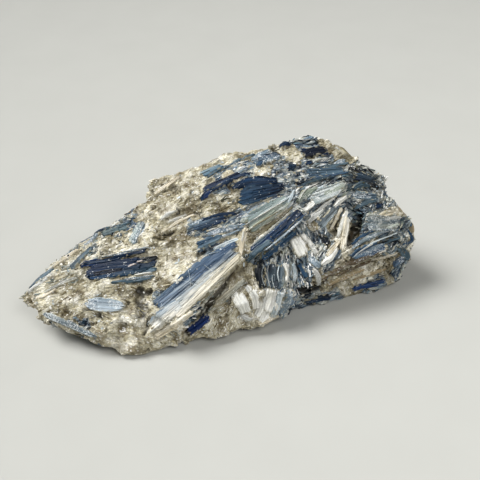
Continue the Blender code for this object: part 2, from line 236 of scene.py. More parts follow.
# %% Fill the pockets and remesh the stone
VOXEL = 0.305 * MM
# How far a block stays under the top of its blade, and how much wider than the blade it is at its top
# and at its foot.
UNDER_BLADE = 0.3 * MM
BANK_ABOVE, BANK_BELOW = 0.3 * MM, 1.8 * MM
SMOOTHING = 4


def add_bank(shape, bar):
    """Adds a block that fills a blade's pocket and spreads downwards, so the rock rises to its sides."""
    length = (bar.corners[2] - bar.corners[0]).length
    width = (bar.corners[1] - bar.corners[0]).length
    for corner in bmesh.ops.create_cube(shape, size=1.0)["verts"]:
        u, v, high = (part > 0 for part in corner.co)
        grow = BANK_ABOVE if high else BANK_BELOW
        height = bar.top - UNDER_BLADE if high else 0.0
        corner.co = on_bar(bar, u + (2 * u - 1) * grow / length, v + (2 * v - 1) * grow / width, height)


def stone_skin():
    """The stone with its pockets filled, as one even mesh."""
    shape = merged("host_stone")
    for bar in bars.values():
        add_bank(shape, bar)
    mesh = bpy.data.meshes.new("stone_skin")
    shape.to_mesh(mesh)
    shape.free()
    block = new_object("stone_skin", mesh)
    remesh = block.modifiers.new("remesh", "REMESH")
    remesh.mode = "VOXEL"
    remesh.voxel_size = VOXEL
    smooth = block.modifiers.new("smooth", "SMOOTH")
    smooth.factor = 0.5
    smooth.iterations = SMOOTHING
    skin = baked(block)
    bpy.data.objects.remove(block)
    return skin


skin = stone_skin()
skin_tree = BVHTree.FromPolygons([v.co for v in skin.vertices], [f.vertices[:] for f in skin.polygons])
print("the skin has", len(skin.polygons), "faces of about", VOXEL / MM, "mm")

# %% Find a place on the skin
NORMAL_REACH = 2.0 * MM


def on_stone(px, py):
    """The point of the skin that the camera sees at a place in its picture.

    Past the stone's outline it is the point nearest to a place on the line of sight.
    """
    place = skin_tree.ray_cast(camera.location, sight(px, py))[0]
    return place or skin_tree.find_nearest(camera.location + sight(px, py) * DISTANCE)[0]


def way_out(place):
    """The way the skin faces at a place, averaged over a few millimetres."""
    near = skin_tree.find_nearest_range(place, NORMAL_REACH)
    return sum((normal for _, normal, _, _ in near), Vector()).normalized()


print("the picture's middle is", round(on_stone(PICTURE / 2, PICTURE / 2).z / MM, 1), "mm high")

# %% [markdown]
# ## What the rock is made of
# The specimen isn't one rock all over. Around the blades it is cream mica, on the left it is a tan,
# sugary quartz, on the upper right a slate blue felt of small kyanite laths. Each kind of rock has its
# own colours, its own mixture of laths and grains, and its own share of white mica.
#
# A zone names a kind, the place of its middle in the picture and its radius. The kind at a point is
# that of the zone whose distance, as a share of its radius, is least. A little noise makes the borders
# between zones ragged.

# %% The kinds of rock
# lathy: 1 for a felt of laths, 0 for grains like sugar. long, wide: the size of a lath in mm.
# step, sugar: how unevenly high the laths and the grains lie, in mm. crumbly: how much it breaks into
# blocks. white: the share of the grains that are silvery mica. stain: how much of it is stained brown.
# flakes, laths: loose flakes and laths to a square millimetre. colours: the colours of its laths and
# grains, and the share that has each.
Kind = namedtuple("Kind", "lathy long wide step sugar crumbly white stain flakes laths colours")
NAVY, BLUE, STEEL, PALE, ICE = "#102238", "#284662", "#4E6272", "#84949C", "#C3CCD0"

PALE_KINDS = {
    "cream": Kind(0.3, 2.6, 0.6, 0.45, 0.26, 1.0, 0.15, 0.75, 0.12, 0.1, (
        (0.18, "#857B5E"), (0.22, "#A69D80"), (0.28, "#C2BBA0"), (0.18, "#D2CCB8"), (0.14, "#E4E0D2"))),
    "chalk": Kind(0.25, 2.4, 0.6, 0.45, 0.24, 0.9, 0.25, 0.45, 0.2, 0.1, (
        (0.1, "#968C70"), (0.18, "#BCB49C"), (0.28, "#D4CEBE"), (0.24, "#E8E4DA"), (0.2, "#F4F2EE"))),
    "tan": Kind(0.15, 2.2, 0.5, 0.4, 0.22, 0.7, 0.07, 0.7, 0.07, 0.05, (
        (0.2, "#665B42"), (0.25, "#817558"), (0.3, "#9A9074"), (0.17, "#AEA68C"), (0.08, "#C6C0AC"))),
    "grey": Kind(1.0, 5.5, 0.5, 0.45, 0.1, 0.4, 0.12, 0.2, 0.1, 0.5, (
        (0.1, "#76807E"), (0.15, "#8A928E"), (0.25, "#A6A698"), (0.25, "#C2C0B2"), (0.25, "#DCDACE"))),
    "olive": Kind(0.5, 2.6, 0.6, 0.5, 0.25, 0.8, 0.08, 0.6, 0.08, 0.2, (
        (0.2, "#48493A"), (0.25, "#5E563E"), (0.3, "#7C7256"), (0.17, "#98906E"), (0.08, "#B4AC90"))),
    "brown": Kind(0.9, 5.0, 0.8, 0.8, 0.2, 0.5, 0.06, 0.4, 0.08, 0.3, (
        (0.25, "#18140F"), (0.22, "#4E4334"), (0.25, "#756A56"), (0.18, "#8C8674"), (0.1, "#B2AC9A"))),
    "lump": Kind(0.0, 1.5, 1.0, 0.05, 0.07, 0.03, 0.02, 0.3, 0.01, 0.0, (
        (0.2, "#C2B6A0"), (0.6, "#D8CEBC"), (0.2, "#E4DCCE"))),
}
BLUE_KINDS = {
    "haze": Kind(1.0, 6.0, 0.5, 0.4, 0.1, 0.2, 0.1, 0.2, 0.06, 0.5, (
        (0.15, "#38506A"), (0.25, "#5E7486"), (0.25, "#82929C"), (0.2, "#A3A9A2"), (0.15, "#C2C1B4"))),
    "slate": Kind(1.0, 4.5, 0.75, 0.8, 0.1, 0.2, 0.04, 0.1, 0.05, 0.4, (
        (0.24, "#0E141C"), (0.22, "#162639"), (0.2, "#233A48"), (0.16, "#40586A"), (0.1, "#66808C"),
        (0.08, "#B4B09E"))),
    "dark": Kind(0.9, 3.6, 0.7, 0.8, 0.1, 0.3, 0.03, 0.2, 0.04, 0.3, (
        (0.3, "#0E1118"), (0.25, "#142034"), (0.2, "#243440"), (0.13, "#404E52"), (0.12, "#585640"))),
    "speckled": Kind(0.35, 1.6, 0.6, 0.7, 0.5, 0.5, 0.2, 0.15, 0.3, 0.2, (
        (0.3, "#1B1F27"), (0.15, "#4C5C68"), (0.2, "#8C9090"), (0.2, "#BCC6CA"), (0.15, "#A79C84"))),
    "silver": Kind(0.9, 3.6, 0.7, 0.7, 0.2, 0.3, 0.3, 0.0, 0.15, 0.5, (
        (0.1, NAVY), (0.08, BLUE), (0.12, STEEL), (0.14, PALE), (0.2, ICE), (0.36, "#F2F1EC"))),
    "bundle": Kind(0.9, 4.5, 0.4, 0.7, 0.2, 0.2, 0.25, 0.1, 0.12, 0.5, (
        (0.12, "#1E2A30"), (0.14, "#34474C"), (0.2, "#5E7074"), (0.26, "#909A8C"), (0.28, "#C4C2AE"))),
}
KINDS = PALE_KINDS | BLUE_KINDS
KIND_NAMES = list(KINDS)
print(len(PALE_KINDS), "kinds of pale rock and", len(BLUE_KINDS), "of blue rock")

# %% Where the zones of rock lie
# Each zone: its kind, the place of its middle in the picture, and its radius in millimetres.
SEEN_ZONES = (
    ("grey", 38, 288, 5), ("grey", 60, 268, 6), ("grey", 85, 250, 4), ("tan", 45, 303, 4),
    ("tan", 75, 300, 5), ("olive", 112, 243, 3.2), ("grey", 125, 232, 3), ("slate", 93, 248, 1.6),
    ("slate", 118, 226, 2.4), ("tan", 105, 288, 4), ("cream", 100, 322, 4), ("cream", 130, 325, 4),
    ("tan", 135, 300, 3), ("olive", 139, 302, 3.2), ("olive", 56, 300, 2.6), ("olive", 70, 306, 2),
    ("brown", 96, 323, 1.2), ("lump", 132, 348, 8), ("lump", 152, 345, 5),
    ("cream", 153, 312, 2.5), ("tan", 180, 262, 6), ("tan", 172, 245, 5), ("tan", 195, 240, 3),
    ("cream", 160, 218, 5), ("cream", 178, 200, 6), ("cream", 160, 190, 4), ("tan", 185, 183, 4),
    ("cream", 200, 190, 4), ("olive", 210, 205, 2.4), ("grey", 215, 236, 3), ("cream", 148, 232, 3),
    ("tan", 215, 160, 5), ("tan", 240, 153, 4), ("tan", 195, 170, 4), ("cream", 225, 175, 2.6),
    ("slate", 222, 172, 1.6), ("cream", 270, 168, 2.6), ("speckled", 285, 168, 4),
    ("speckled", 300, 176, 3), ("olive", 288, 152, 3.4), ("slate", 300, 143, 4), ("tan", 290, 158, 1.8),
    ("olive", 330, 143, 3), ("olive", 345, 158, 3), ("slate", 325, 165, 6), ("slate", 340, 178, 5),
    ("dark", 365, 180, 6), ("dark", 372, 195, 4), ("olive", 388, 197, 2), ("bundle", 345, 188, 2.6),
    ("silver", 315, 192, 4), ("silver", 335, 190, 3), ("speckled", 315, 212, 4), ("silver", 330, 205, 3),
    ("silver", 305, 235, 4.5), ("silver", 320, 250, 4.5), ("cream", 335, 225, 3), ("cream", 343, 238, 2.5),
    ("silver", 300, 262, 4), ("dark", 325, 238, 1.6), ("brown", 352, 230, 2.6), ("slate", 360, 205, 3),
    ("bundle", 375, 228, 5), ("bundle", 395, 222, 5), ("cream", 388, 213, 2.4), ("slate", 410, 228, 3),
    ("slate", 412, 248, 4), ("slate", 403, 268, 4), ("brown", 375, 252, 5), ("brown", 350, 262, 5),
    ("brown", 330, 278, 5), ("brown", 390, 262, 4), ("dark", 308, 291, 3), ("slate", 330, 298, 3),
    ("dark", 272, 265, 4), ("silver", 280, 300, 4), ("silver", 292, 285, 3), ("cream", 250, 305, 4),
    ("cream", 235, 312, 4), ("tan", 215, 322, 3), ("tan", 240, 288, 3), ("cream", 265, 320, 3),
    ("cream", 180, 340, 4), ("tan", 205, 333, 4), ("olive", 165, 345, 2), ("grey", 218, 298, 3),
    ("grey", 265, 225, 4), ("olive", 265, 240, 2.5), ("cream", 244, 242, 2.2), ("slate", 280, 240, 3),
    ("slate", 378, 286, 3), ("haze", 222, 172, 3), ("haze", 240, 165, 3), ("haze", 215, 188, 2),
    ("haze", 195, 230, 2.5), ("haze", 212, 236, 3.5), ("haze", 232, 222, 2.5), ("haze", 262, 218, 3),
    ("haze", 205, 248, 2.5), ("haze", 125, 230, 3), ("haze", 140, 228, 2), ("olive", 166, 234, 2),
    ("olive", 226, 207, 2), ("olive", 205, 206, 1.6), ("olive", 172, 196, 1.6), ("olive", 153, 186, 1.4),
    ("brown", 100, 300, 1.6), ("olive", 148, 300, 1.8), ("tan", 60, 305, 3), ("cream", 250, 278, 3),
    ("olive", 246, 270, 1.6), ("lump", 115, 342, 5), ("tan", 140, 288, 3), ("cream", 72, 290, 2.5),
    ("cream", 290, 160, 2), ("tan", 310, 155, 1.6), ("bundle", 330, 172, 2.4), ("haze", 316, 182, 2.4),
    ("tan", 66, 327, 3), ("cream", 80, 335, 3), ("tan", 92, 342, 3), ("lump", 104, 349, 3.5),
    ("silver", 345, 215, 2), ("cream", 398, 215, 3), ("silver", 380, 220, 2), ("silver", 332, 258, 3),
    ("silver", 318, 236, 3), ("cream", 312, 226, 1.8), ("olive", 255, 232, 1.5), ("grey", 160, 325, 3),
    ("grey", 172, 335, 2.5), ("haze", 160, 300, 2), ("cream", 232, 325, 3), ("tan", 190, 338, 2.5),
    ("chalk", 236, 290, 2.5), ("chalk", 257, 294, 2), ("chalk", 164, 222, 3.5), ("chalk", 175, 208, 3),
    ("chalk", 152, 203, 3), ("chalk", 188, 196, 2.5),
    ("chalk", 250, 303, 3.5), ("chalk", 264, 316, 3), ("chalk", 240, 319, 2.5), ("chalk", 122, 330, 1.8),
    ("chalk", 149, 322, 1.8), ("chalk", 32, 297, 2), ("tan", 52, 298, 3), ("chalk", 66, 262, 2),
    ("chalk", 142, 328, 1.6), ("chalk", 344, 232, 2), ("chalk", 306, 248, 2), ("chalk", 402, 213, 1.6),
)
# Which way the grain runs: a place in the picture, and its slope there in degrees.
GRAIN_SEATS = (
    (60, 280, 22), (110, 235, 28), (115, 270, 6), (130, 330, -20), (180, 240, 20), (180, 200, 25),
    (220, 165, 25), (290, 150, 12), (330, 170, 18), (370, 180, -30), (330, 195, 38), (300, 240, 112),
    (318, 255, 62), (300, 268, 100), (340, 230, 62), (380, 228, 27), (408, 255, 65), (360, 262, 26),
    (270, 270, 98), (250, 300, 60), (330, 298, 15), (270, 215, 30), (200, 280, 36), (375, 286, 12),
)
# The sides that the camera doesn't see get zones from the same kinds, at random seats. Their radius in
# millimetres varies by these shares, and their grain by this turn in radians.
HIDDEN_ZONES, HIDDEN_RADIUS, HIDDEN_SHARES, HIDDEN_TURN = 60, 6.0, (0.5, 1.2), 0.5
HIDDEN_KINDS = ("cream", "cream", "tan", "tan", "grey", "slate", "slate", "olive", "brown", "bundle",
                "silver")
STONE_GRAIN = Vector((0.84, 0.44, 0.3)).normalized()
# How far noise moves a border, as a share of the zone's radius, how long its waves are, and how far
# apart the zones take it.
RAGGED, RAGGED_SIZE, NOISE_APART = 0.55, 2.6 * MM, 7.3
# A face is seen where its normal has more than this share towards the camera. The grain takes that
# share to be at least the second value.
SEEN, GRAZING = 0.05, 0.2
Zone = namedtuple("Zone", "kind place radius along across")


def grain_at(normal, turn):
    """The direction in the skin that looks, from the camera, turned by an angle from level."""
    flat = RIGHT * math.cos(math.radians(turn)) + UP * math.sin(math.radians(turn))
    towards = max(BACKWARD.dot(normal), GRAZING)
    along = flat - BACKWARD * flat.dot(normal) / towards
    return (along - normal * along.dot(normal)).normalized()


def zone_list():
    """Every zone of rock, seen and hidden."""
    found = []
    for kind, px, py, radius in SEEN_ZONES:
        place = on_stone(px, py)
        out = way_out(place)
        turn = min(GRAIN_SEATS, key=lambda seat: math.hypot(seat[0] - px, seat[1] - py))[2]
        along = grain_at(out, turn)
        found.append(Zone(KIND_NAMES.index(kind), place, radius * MM, along, out.cross(along)))
    chance = random.Random(7)
    hidden = [face for face in skin.polygons if face.normal.dot(BACKWARD) < SEEN]
    for face in chance.sample(hidden, HIDDEN_ZONES):
        out = way_out(face.center)
        along = (STONE_GRAIN - out * STONE_GRAIN.dot(out)).normalized()
        along = Matrix.Rotation(chance.uniform(-HIDDEN_TURN, HIDDEN_TURN), 3, out) @ along
        kind = KIND_NAMES.index(chance.choice(HIDDEN_KINDS))
        radius = HIDDEN_RADIUS * MM * chance.uniform(*HIDDEN_SHARES)
        found.append(Zone(kind, face.center.copy(), radius, along, out.cross(along)))
    return found


def zones_of_faces(middles):
    """The number of the zone in which each face lies."""
    best = np.full(len(middles), np.inf)
    zone_of = np.zeros(len(middles), int)
    for number, zone in enumerate(zones):
        shift = Vector((number * NOISE_APART, 0, 0))
        away = np.linalg.norm(middles - np.array(zone.place), axis=1) / zone.radius
        near = np.flatnonzero(away < best + RAGGED)
        waves = np.array([noise.noise(Vector(middles[face]) / RAGGED_SIZE + shift) for face in near])
        score = away[near] + RAGGED * waves
        better = score < best[near]
        best[near[better]] = score[better]
        zone_of[near[better]] = number
    return zone_of


zones = zone_list()
face_middles = np.empty(len(skin.polygons) * 3)
skin.polygons.foreach_get("center", face_middles)
face_zones = zones_of_faces(face_middles.reshape(-1, 3))
face_kinds = np.array([zone.kind for zone in zones])[face_zones]
print("faces of each kind:", dict(zip(KIND_NAMES, np.bincount(face_kinds).tolist())))

# %% [markdown]
# ## The relief of the broken rock
# A broken face of this rock has four kinds of relief: swells a few millimetres across, crumbs that
# lean each its own way, flat laths that lie along the grain, one a little higher than the next, and
# grains like coarse sugar. All four follow rules, so a tree of geometry nodes makes them. Its Voronoi
# textures give each crumb, lath and grain a height of its own. Crevices and holes that have a place of
# their own are measured first, here in Python, and the tree only pushes them in.

# %% Crevices and holes
# Each: its places in the picture from end to end, its half width and its depth in millimetres.
CREVICES = (
    (((187, 334), (208, 308), (224, 284), (236, 268)), 0.9, 2.4),
    (((300, 290), (308, 291), (318, 287)), 1.3, 2.4), (((271, 150), (276, 156)), 0.9, 1.6),
    (((143, 294), (150, 291)), 0.8, 1.6), (((146, 306), (150, 322), (144, 334)), 0.6, 1.0),
    (((164, 236), (172, 232)), 0.8, 1.2), (((152, 238), (166, 240)), 0.5, 0.8),
    (((348, 241), (356, 228), (360, 218)), 1.3, 2.4), (((340, 247), (347, 244)), 0.8, 1.4),
    (((352, 259), (368, 247), (392, 240)), 0.6, 1.2), (((330, 283), (345, 278), (352, 270)), 0.8, 1.2),
    (((255, 258), (262, 249), (270, 246)), 0.5, 0.8), (((150, 184), (149, 192)), 0.6, 0.8),
    (((84, 310), (96, 308)), 0.5, 0.8), (((141, 292), (140, 303), (142, 316)), 1.4, 1.3),
    (((198, 256), (204, 252)), 0.7, 1.1), (((246, 222), (262, 208), (284, 200)), 0.4, 0.7),
)
# At 1 a crevice would be cut like a V. Below 1 its floor is broad.
CREVICE_SHAPE = 0.6


def skin_places():
    """The places of the skin's vertices as an array."""
    places = np.empty(len(skin.vertices) * 3)
    skin.vertices.foreach_get("co", places)
    return places.reshape(-1, 3)


def crevice_depths(places):
    """How deep every place lies in a crevice."""
    depths = np.zeros(len(places))
    for seats, half_width, depth in CREVICES:
        line = [np.array(on_stone(*seat)) for seat in seats]
        for start, end in zip(line, line[1:]):
            step = end - start
            share = np.clip((places - start) @ step / step.dot(step), 0, 1)
            away = np.linalg.norm(places - start - share[:, None] * step, axis=1) / (half_width * MM)
            depths = np.maximum(depths, depth * MM * np.clip(1 - away, 0, 1) ** CREVICE_SHAPE)
    return depths


# The relief fades out from a blade's outline to this far inside it, and it is free again this far
# above or below the blade.
FREE_EDGE = 0.8 * MM
PAST_BLADE = 1.0 * MM


def room_for_relief(places):
    """For every place, 0 under a blade and 1 where the relief is free."""
    room = np.ones(len(places))
    for bar in bars.values():
        corners = np.array(bar.corners)
        out = np.array(bar.out)
        along = corners[2] + corners[3] - corners[0] - corners[1]
        half_length = np.linalg.norm(along) / 4
        along /= np.linalg.norm(along)
        half_width = np.linalg.norm(corners[1] - corners[0]) / 2
        offset = places - corners.mean(axis=0)
        across = np.cross(out, along)
        beside = np.maximum(abs(offset @ along) - half_length, abs(offset @ across) - half_width)
        above = abs(offset @ out - bar.top / 2) - bar.top / 2 - PAST_BLADE
        room = np.minimum(room, np.clip(np.maximum(beside + FREE_EDGE, above) / FREE_EDGE, 0, 1))
    return room


for side in ("along", "across"):
    sides = np.array([getattr(zone, side) for zone in zones])
    set_attribute(skin, side, "FLOAT_VECTOR", "FACE", sides[face_zones])
for field in ("lathy", "long", "wide", "step", "sugar", "crumbly", "flakes", "laths"):
    of_kind = np.array([getattr(kind, field) for kind in KINDS.values()])
    set_attribute(skin, field, "FLOAT", "FACE", of_kind[face_kinds])
set_attribute(skin, "kind", "INT", "FACE", face_kinds)
# How much of the swells a kind of rock keeps, where that isn't all.
SWELLING = {"lump": 0.12}
kept_swells = np.array([SWELLING.get(kind, 1.0) for kind in KINDS])
set_attribute(skin, "swelling", "FLOAT", "FACE", kept_swells[face_kinds])
set_attribute(skin, "crevice", "FLOAT", "POINT", crevice_depths(skin_places()))
set_attribute(skin, "room", "FLOAT", "POINT", room_for_relief(skin_places()))
print("the skin has attributes", [a.name for a in skin.attributes if not a.is_internal])

# %% A tree of geometry nodes with named inputs
NAMED, STORE = "GeometryNodeInputNamedAttribute", "GeometryNodeStoreNamedAttribute"
NOISE = "ShaderNodeTexNoise"
VORONOI, MIX, RANGE = "ShaderNodeTexVoronoi", "ShaderNodeMix", "ShaderNodeMapRange"
# The random values of a cell run from 0 to 1. Less this, they swing to both sides.
HALF = (0.5,) * 3
# The greater of a place and this keeps its x and its y and lifts it out of the table.
GROUND = (-1.0, -1.0, 0.0)


def new_tree(name, inputs):
    """A geometry node tree with named inputs, and its input and output nodes."""
    tree = bpy.data.node_groups.new(name, "GeometryNodeTree")
    tree.interface.new_socket("Geometry", in_out="INPUT", socket_type="NodeSocketGeometry")
    tree.interface.new_socket("Geometry", in_out="OUTPUT", socket_type="NodeSocketGeometry")
    for label, kind in inputs.items():
        tree.interface.new_socket(label, in_out="INPUT", socket_type="NodeSocket" + kind)
    return tree, add(tree, "NodeGroupInput").outputs, add(tree, "NodeGroupOutput")


def run_tree(thing, tree, values):
    """The mesh that a tree makes of an object. The values are given by the names of its inputs."""
    modifier = thing.modifiers.new(tree.name, "NODES")
    modifier.node_group = tree
    for item in tree.interface.items_tree:
        if item.in_out == "INPUT" and item.name in values:
            modifier[item.identifier] = values[item.name]
    mesh = baked(thing)
    thing.modifiers.remove(modifier)
    return mesh


# %% The relief of the laths
# Small laths are finer than laths by this, and have this share of their height.
FINER, SMALL_SHARE = 2.6, 0.35
# How far, in laths, a line of laths wanders, and how many waves it has to a lath.
LATH_BEND, BENDS = 0.7, 0.8
# How far from a lath's border its gap reaches, in laths, and the mean height of the laths. It is taken
# off, or the whole stone would swell.
GAP_WIDTH, MEAN_HEIGHT = 0.14, 0.65


def lath_places(tree, place):
    """A place measured in laths along the grain and across it. Each of its cells is a lath."""
    along, across = (add(tree, NAMED, {"Name": side}, data_type="FLOAT_VECTOR")
                     for side in ("along", "across"))
    out = add(tree, VECTOR_MATH, (along, across), operation="CROSS_PRODUCT")
    long = add(tree, MATH, (add(tree, NAMED, {"Name": "long"}), MM), operation="MULTIPLY")
    wide = add(tree, MATH, (add(tree, NAMED, {"Name": "wide"}), MM), operation="MULTIPLY")
    measured = [add(tree, VECTOR_MATH, (place, axis), operation="DOT_PRODUCT").outputs["Value"]
                for axis in (along, across, out)]
    cells = add(tree, "ShaderNodeCombineXYZ", [
        add(tree, MATH, (length, size), operation="DIVIDE")
        for length, size in zip(measured, (long, wide, wide))])
    waves = add(tree, NOISE, {"Vector": cells, "Scale": BENDS, "Detail": 1.0})
    return add(tree, VECTOR_MATH, (waves.outputs["Color"], (LATH_BEND,) * 3, cells),
               operation="MULTIPLY_ADD")


def lath_heights(tree, bent, given):
    """Laths that each have a height and a lean of their own, with gaps between them."""
    cell = add(tree, VORONOI, {"Vector": bent, "Scale": 1.0})
    lath = cell.outputs["Color"]
    small_lath = add(tree, VORONOI, {"Vector": bent, "Scale": FINER}).outputs["Color"]
    both = add(tree, VECTOR_MATH, (small_lath, (SMALL_SHARE,) * 3, lath), operation="MULTIPLY_ADD")
    border = add(tree, VORONOI, {"Vector": bent, "Scale": 1.0}, feature="DISTANCE_TO_EDGE")
    gap = add(tree, RANGE, (border, 0.0, GAP_WIDTH, given["Gap Depth"], 0.0))
    tilt = add(tree, VECTOR_MATH, (lath, HALF), operation="SUBTRACT")
    in_lath = add(tree, VECTOR_MATH, (bent, cell.outputs["Position"]), operation="SUBTRACT")
    leaning = add(tree, VECTOR_MATH, (in_lath, tilt), operation="DOT_PRODUCT").outputs["Value"]
    leant = add(tree, MATH, (leaning, given["Lath Lean"], add(tree, SPLIT, {0: both})),
                operation="MULTIPLY_ADD")
    uneven = add(tree, MATH, (leant, gap), operation="SUBTRACT")
    centred = add(tree, MATH, (uneven, MEAN_HEIGHT), operation="SUBTRACT")
    share = add(tree, MATH, (add(tree, NAMED, {"Name": "step"}), add(tree, NAMED, {"Name": "lathy"})),
                operation="MULTIPLY")
    return add(tree, MATH, (centred, share), operation="MULTIPLY")


# %% The relief of grains, crumbs and swells
CRUMB_SIZE, GRAIN_SIZE = 2.4 * MM, 0.9 * MM
# Small grains are this share of the height of the grains, and finer by this.
SMALL_GRAINS, FINER_GRAINS = 0.4, 2.0


def grain_heights(tree, place, given):
    """Rounded grains like sugar, with smaller ones on them."""
    finely = add(tree, MATH, (1.0, given["Grain Size"]), operation="DIVIDE")
    grain = add(tree, VORONOI, {"Vector": place, "Scale": finely})
    more_finely = add(tree, MATH, (finely, FINER_GRAINS), operation="MULTIPLY")
    small = add(tree, VORONOI, {"Vector": place, "Scale": more_finely})
    own = add(tree, SPLIT, {0: grain.outputs["Color"]})
    rounded = add(tree, MATH, (own, grain), operation="SUBTRACT")
    lump = add(tree, MATH, (small, -SMALL_GRAINS, rounded), operation="MULTIPLY_ADD")
    return add(tree, MATH, (lump, add(tree, NAMED, {"Name": "sugar"})), operation="MULTIPLY")


def crumb_heights(tree, place, given):
    """Blocks of broken rock that each have a height and a lean of their own."""
    crumb = add(tree, VORONOI, {
        "Vector": place, "Scale": add(tree, MATH, (1.0, given["Crumb Size"]), operation="DIVIDE")})
    tilt = add(tree, VECTOR_MATH, (crumb.outputs["Color"], HALF), operation="SUBTRACT")
    in_crumb = add(tree, VECTOR_MATH, (place, crumb.outputs["Position"]), operation="SUBTRACT")
    sloped = add(tree, VECTOR_MATH, (in_crumb, tilt), operation="DOT_PRODUCT").outputs["Value"]
    level = add(tree, MATH, (add(tree, SPLIT, (tilt,)), given["Crumb Height"]), operation="MULTIPLY")
    facet = add(tree, MATH, (sloped, given["Crumb Lean"], level), operation="MULTIPLY_ADD")
    return add(tree, MATH, (facet, add(tree, NAMED, {"Name": "crumbly"})), operation="MULTIPLY")


def swell_heights(tree, place, given):
    """Swells a few millimetres across, of which smooth rock keeps little."""
    to_metre = add(tree, MATH, (1.0, given["Swell Size"]), operation="DIVIDE")
    swell = add(tree, NOISE, {"Vector": place, "Scale": to_metre, "Detail": 4.0})
    swing = add(tree, MATH, (swell, 0.5), operation="SUBTRACT")
    full = add(tree, MATH, (swing, given["Swell Height"]), operation="MULTIPLY")
    return add(tree, MATH, (full, add(tree, NAMED, {"Name": "swelling"})), operation="MULTIPLY")


# %% The relief tree
def relief_tree():
    """Raises the four kinds of relief on the skin, and pushes crevices in.

    It copies nothing, so nothing has to be realized, and the faces get their materials once the stone
    is split. It leaves three attributes for them: where a place was before it was moved, where it is
    in laths, and how far it was raised.
    """
    tree, given, result = new_tree("broken relief", {
        "Swell Size": "Float", "Swell Height": "Float", "Crumb Size": "Float", "Crumb Height": "Float",
        "Crumb Lean": "Float", "Grain Size": "Float", "Gap Depth": "Float", "Lath Lean": "Float"})
    place = add(tree, "GeometryNodeInputPosition")
    bent = lath_places(tree, place)
    laths, grains = lath_heights(tree, bent, given), grain_heights(tree, place, given)
    finest = add(tree, MATH, (add(tree, MATH, (laths, grains), operation="ADD"), MM), operation="MULTIPLY")
    fine = add(tree, MATH, (finest, crumb_heights(tree, place, given)), operation="ADD")
    all_relief = add(tree, MATH, (swell_heights(tree, place, given), fine), operation="ADD")
    free = add(tree, MATH, (all_relief, add(tree, NAMED, {"Name": "room"})), operation="MULTIPLY")
    height = add(tree, MATH, (free, add(tree, NAMED, {"Name": "crevice"})), operation="SUBTRACT")
    lift = add(tree, VECTOR_MATH, {0: add(tree, "GeometryNodeInputNormal"), "Scale": height},
               operation="SCALE")
    raised = add(tree, VECTOR_MATH, (place, lift), operation="ADD")
    above_ground = add(tree, VECTOR_MATH, (raised, GROUND), operation="MAXIMUM")

    at_rest = add(tree, STORE, {"Geometry": given["Geometry"], "Name": "rest", "Value": place},
                  data_type="FLOAT_VECTOR")
    in_cells = add(tree, STORE, {"Geometry": at_rest, "Name": "cells", "Value": bent},
                   data_type="FLOAT_VECTOR")
    deep = add(tree, STORE, {"Geometry": in_cells, "Name": "depth", "Value": height})
    moved = add(tree, "GeometryNodeSetPosition", {"Geometry": deep, "Position": above_ground})
    tree.links.new(moved.outputs[0], result.inputs[0])
    return tree


flat_stone = new_object("flat_stone", skin)
stone = new_object("whole_stone", run_tree(flat_stone, relief_tree(), {
    "Swell Size": 4.5 * MM, "Swell Height": 1.6 * MM, "Crumb Size": CRUMB_SIZE, "Crumb Height": 0.35 * MM,
    "Crumb Lean": 0.55, "Grain Size": GRAIN_SIZE, "Gap Depth": 0.5, "Lath Lean": 1.0}))
bpy.data.objects.remove(flat_stone)
print("the stone has", len(stone.data.polygons), "faces")

# %% [markdown]
# ## The materials of the rock
# The schist is a sugar of quartz and a felt of kyanite laths, with grains of white mica and some iron
# stain. Its texture has to fit its relief, so its material reads the same cells that the relief was
# made from. A lath that stands proud then has a colour and a gloss of its own too. Muscovite mica
# splits into mirrors that each face another way, so every cell tilts the light a little differently.

# %% The colours of a kind of rock
RAMP, ATTRIBUTE = "ShaderNodeValToRGB", "ShaderNodeAttribute"
SPECK_SIZE = 0.4 * MM
STAIN_SIZE, PATCH_SIZE = 3.0 * MM, 4.5 * MM
# How far a patch of rock leans to the first or the last of its colours, which run from dark to pale.
PATCH_SHARE = 0.35
# Laths and grains give a place its colour, and the small laths and specks on them this share of it.
FINE_SHARE = 0.4
# How many fibres there are to a lath, along it and across it, and how dark and how light they are.
FIBRES, FIBRE_SHADE, FIBRE_LIGHT = (0.7, 2.5, 2.5), 0.45, 0.4
# How dark and how light patches and crumbs are.
PATCH_LEVELS, CRUMB_LEVELS = (0.84, 1.1), (0.8, 1.12)
# HOLLOW_SHADE is the colour of painted shade, laid into the gaps between laths and into hollows.
IRON_STAIN, WHITE_MICA, HOLLOW_SHADE = "#695A38", "#F2F0EA", "#1E1A14"
# How much white mica hides the rock's colour, and how much painted shade hides it in a gap between laths
# and in a hollow.
MICA_COVER, GAP_COVER, HOLLOW_COVER = 0.8, 0.75, 0.85
# How far from a lath's border its dark line of painted shade reaches, in laths, and how deep a hollow
# starts to get painted shade and where it is darkest.
DARK_LINE, HOLLOW_DEPTHS = 0.09, (-0.25 * MM, -1.0 * MM)
# How strongly a speck tilts the light, and the unevenness in mm from which it does so in full.
TILT, FULL_STEP = 0.3, 0.4


def new_material(name):
    """A material with a Principled shader, and its tree and shader."""
    material = bpy.data.materials.new(name)
    material.use_nodes = True
    return material, material.node_tree, material.node_tree.nodes["Principled BSDF"]


def stops_of(colours):
    """The stops of a colour ramp that gives each colour its share."""
    reached = np.cumsum([0.0] + [share for share, _ in colours])
    return [(start, linear(code)) for start, (_, code) in zip(reached, colours)]


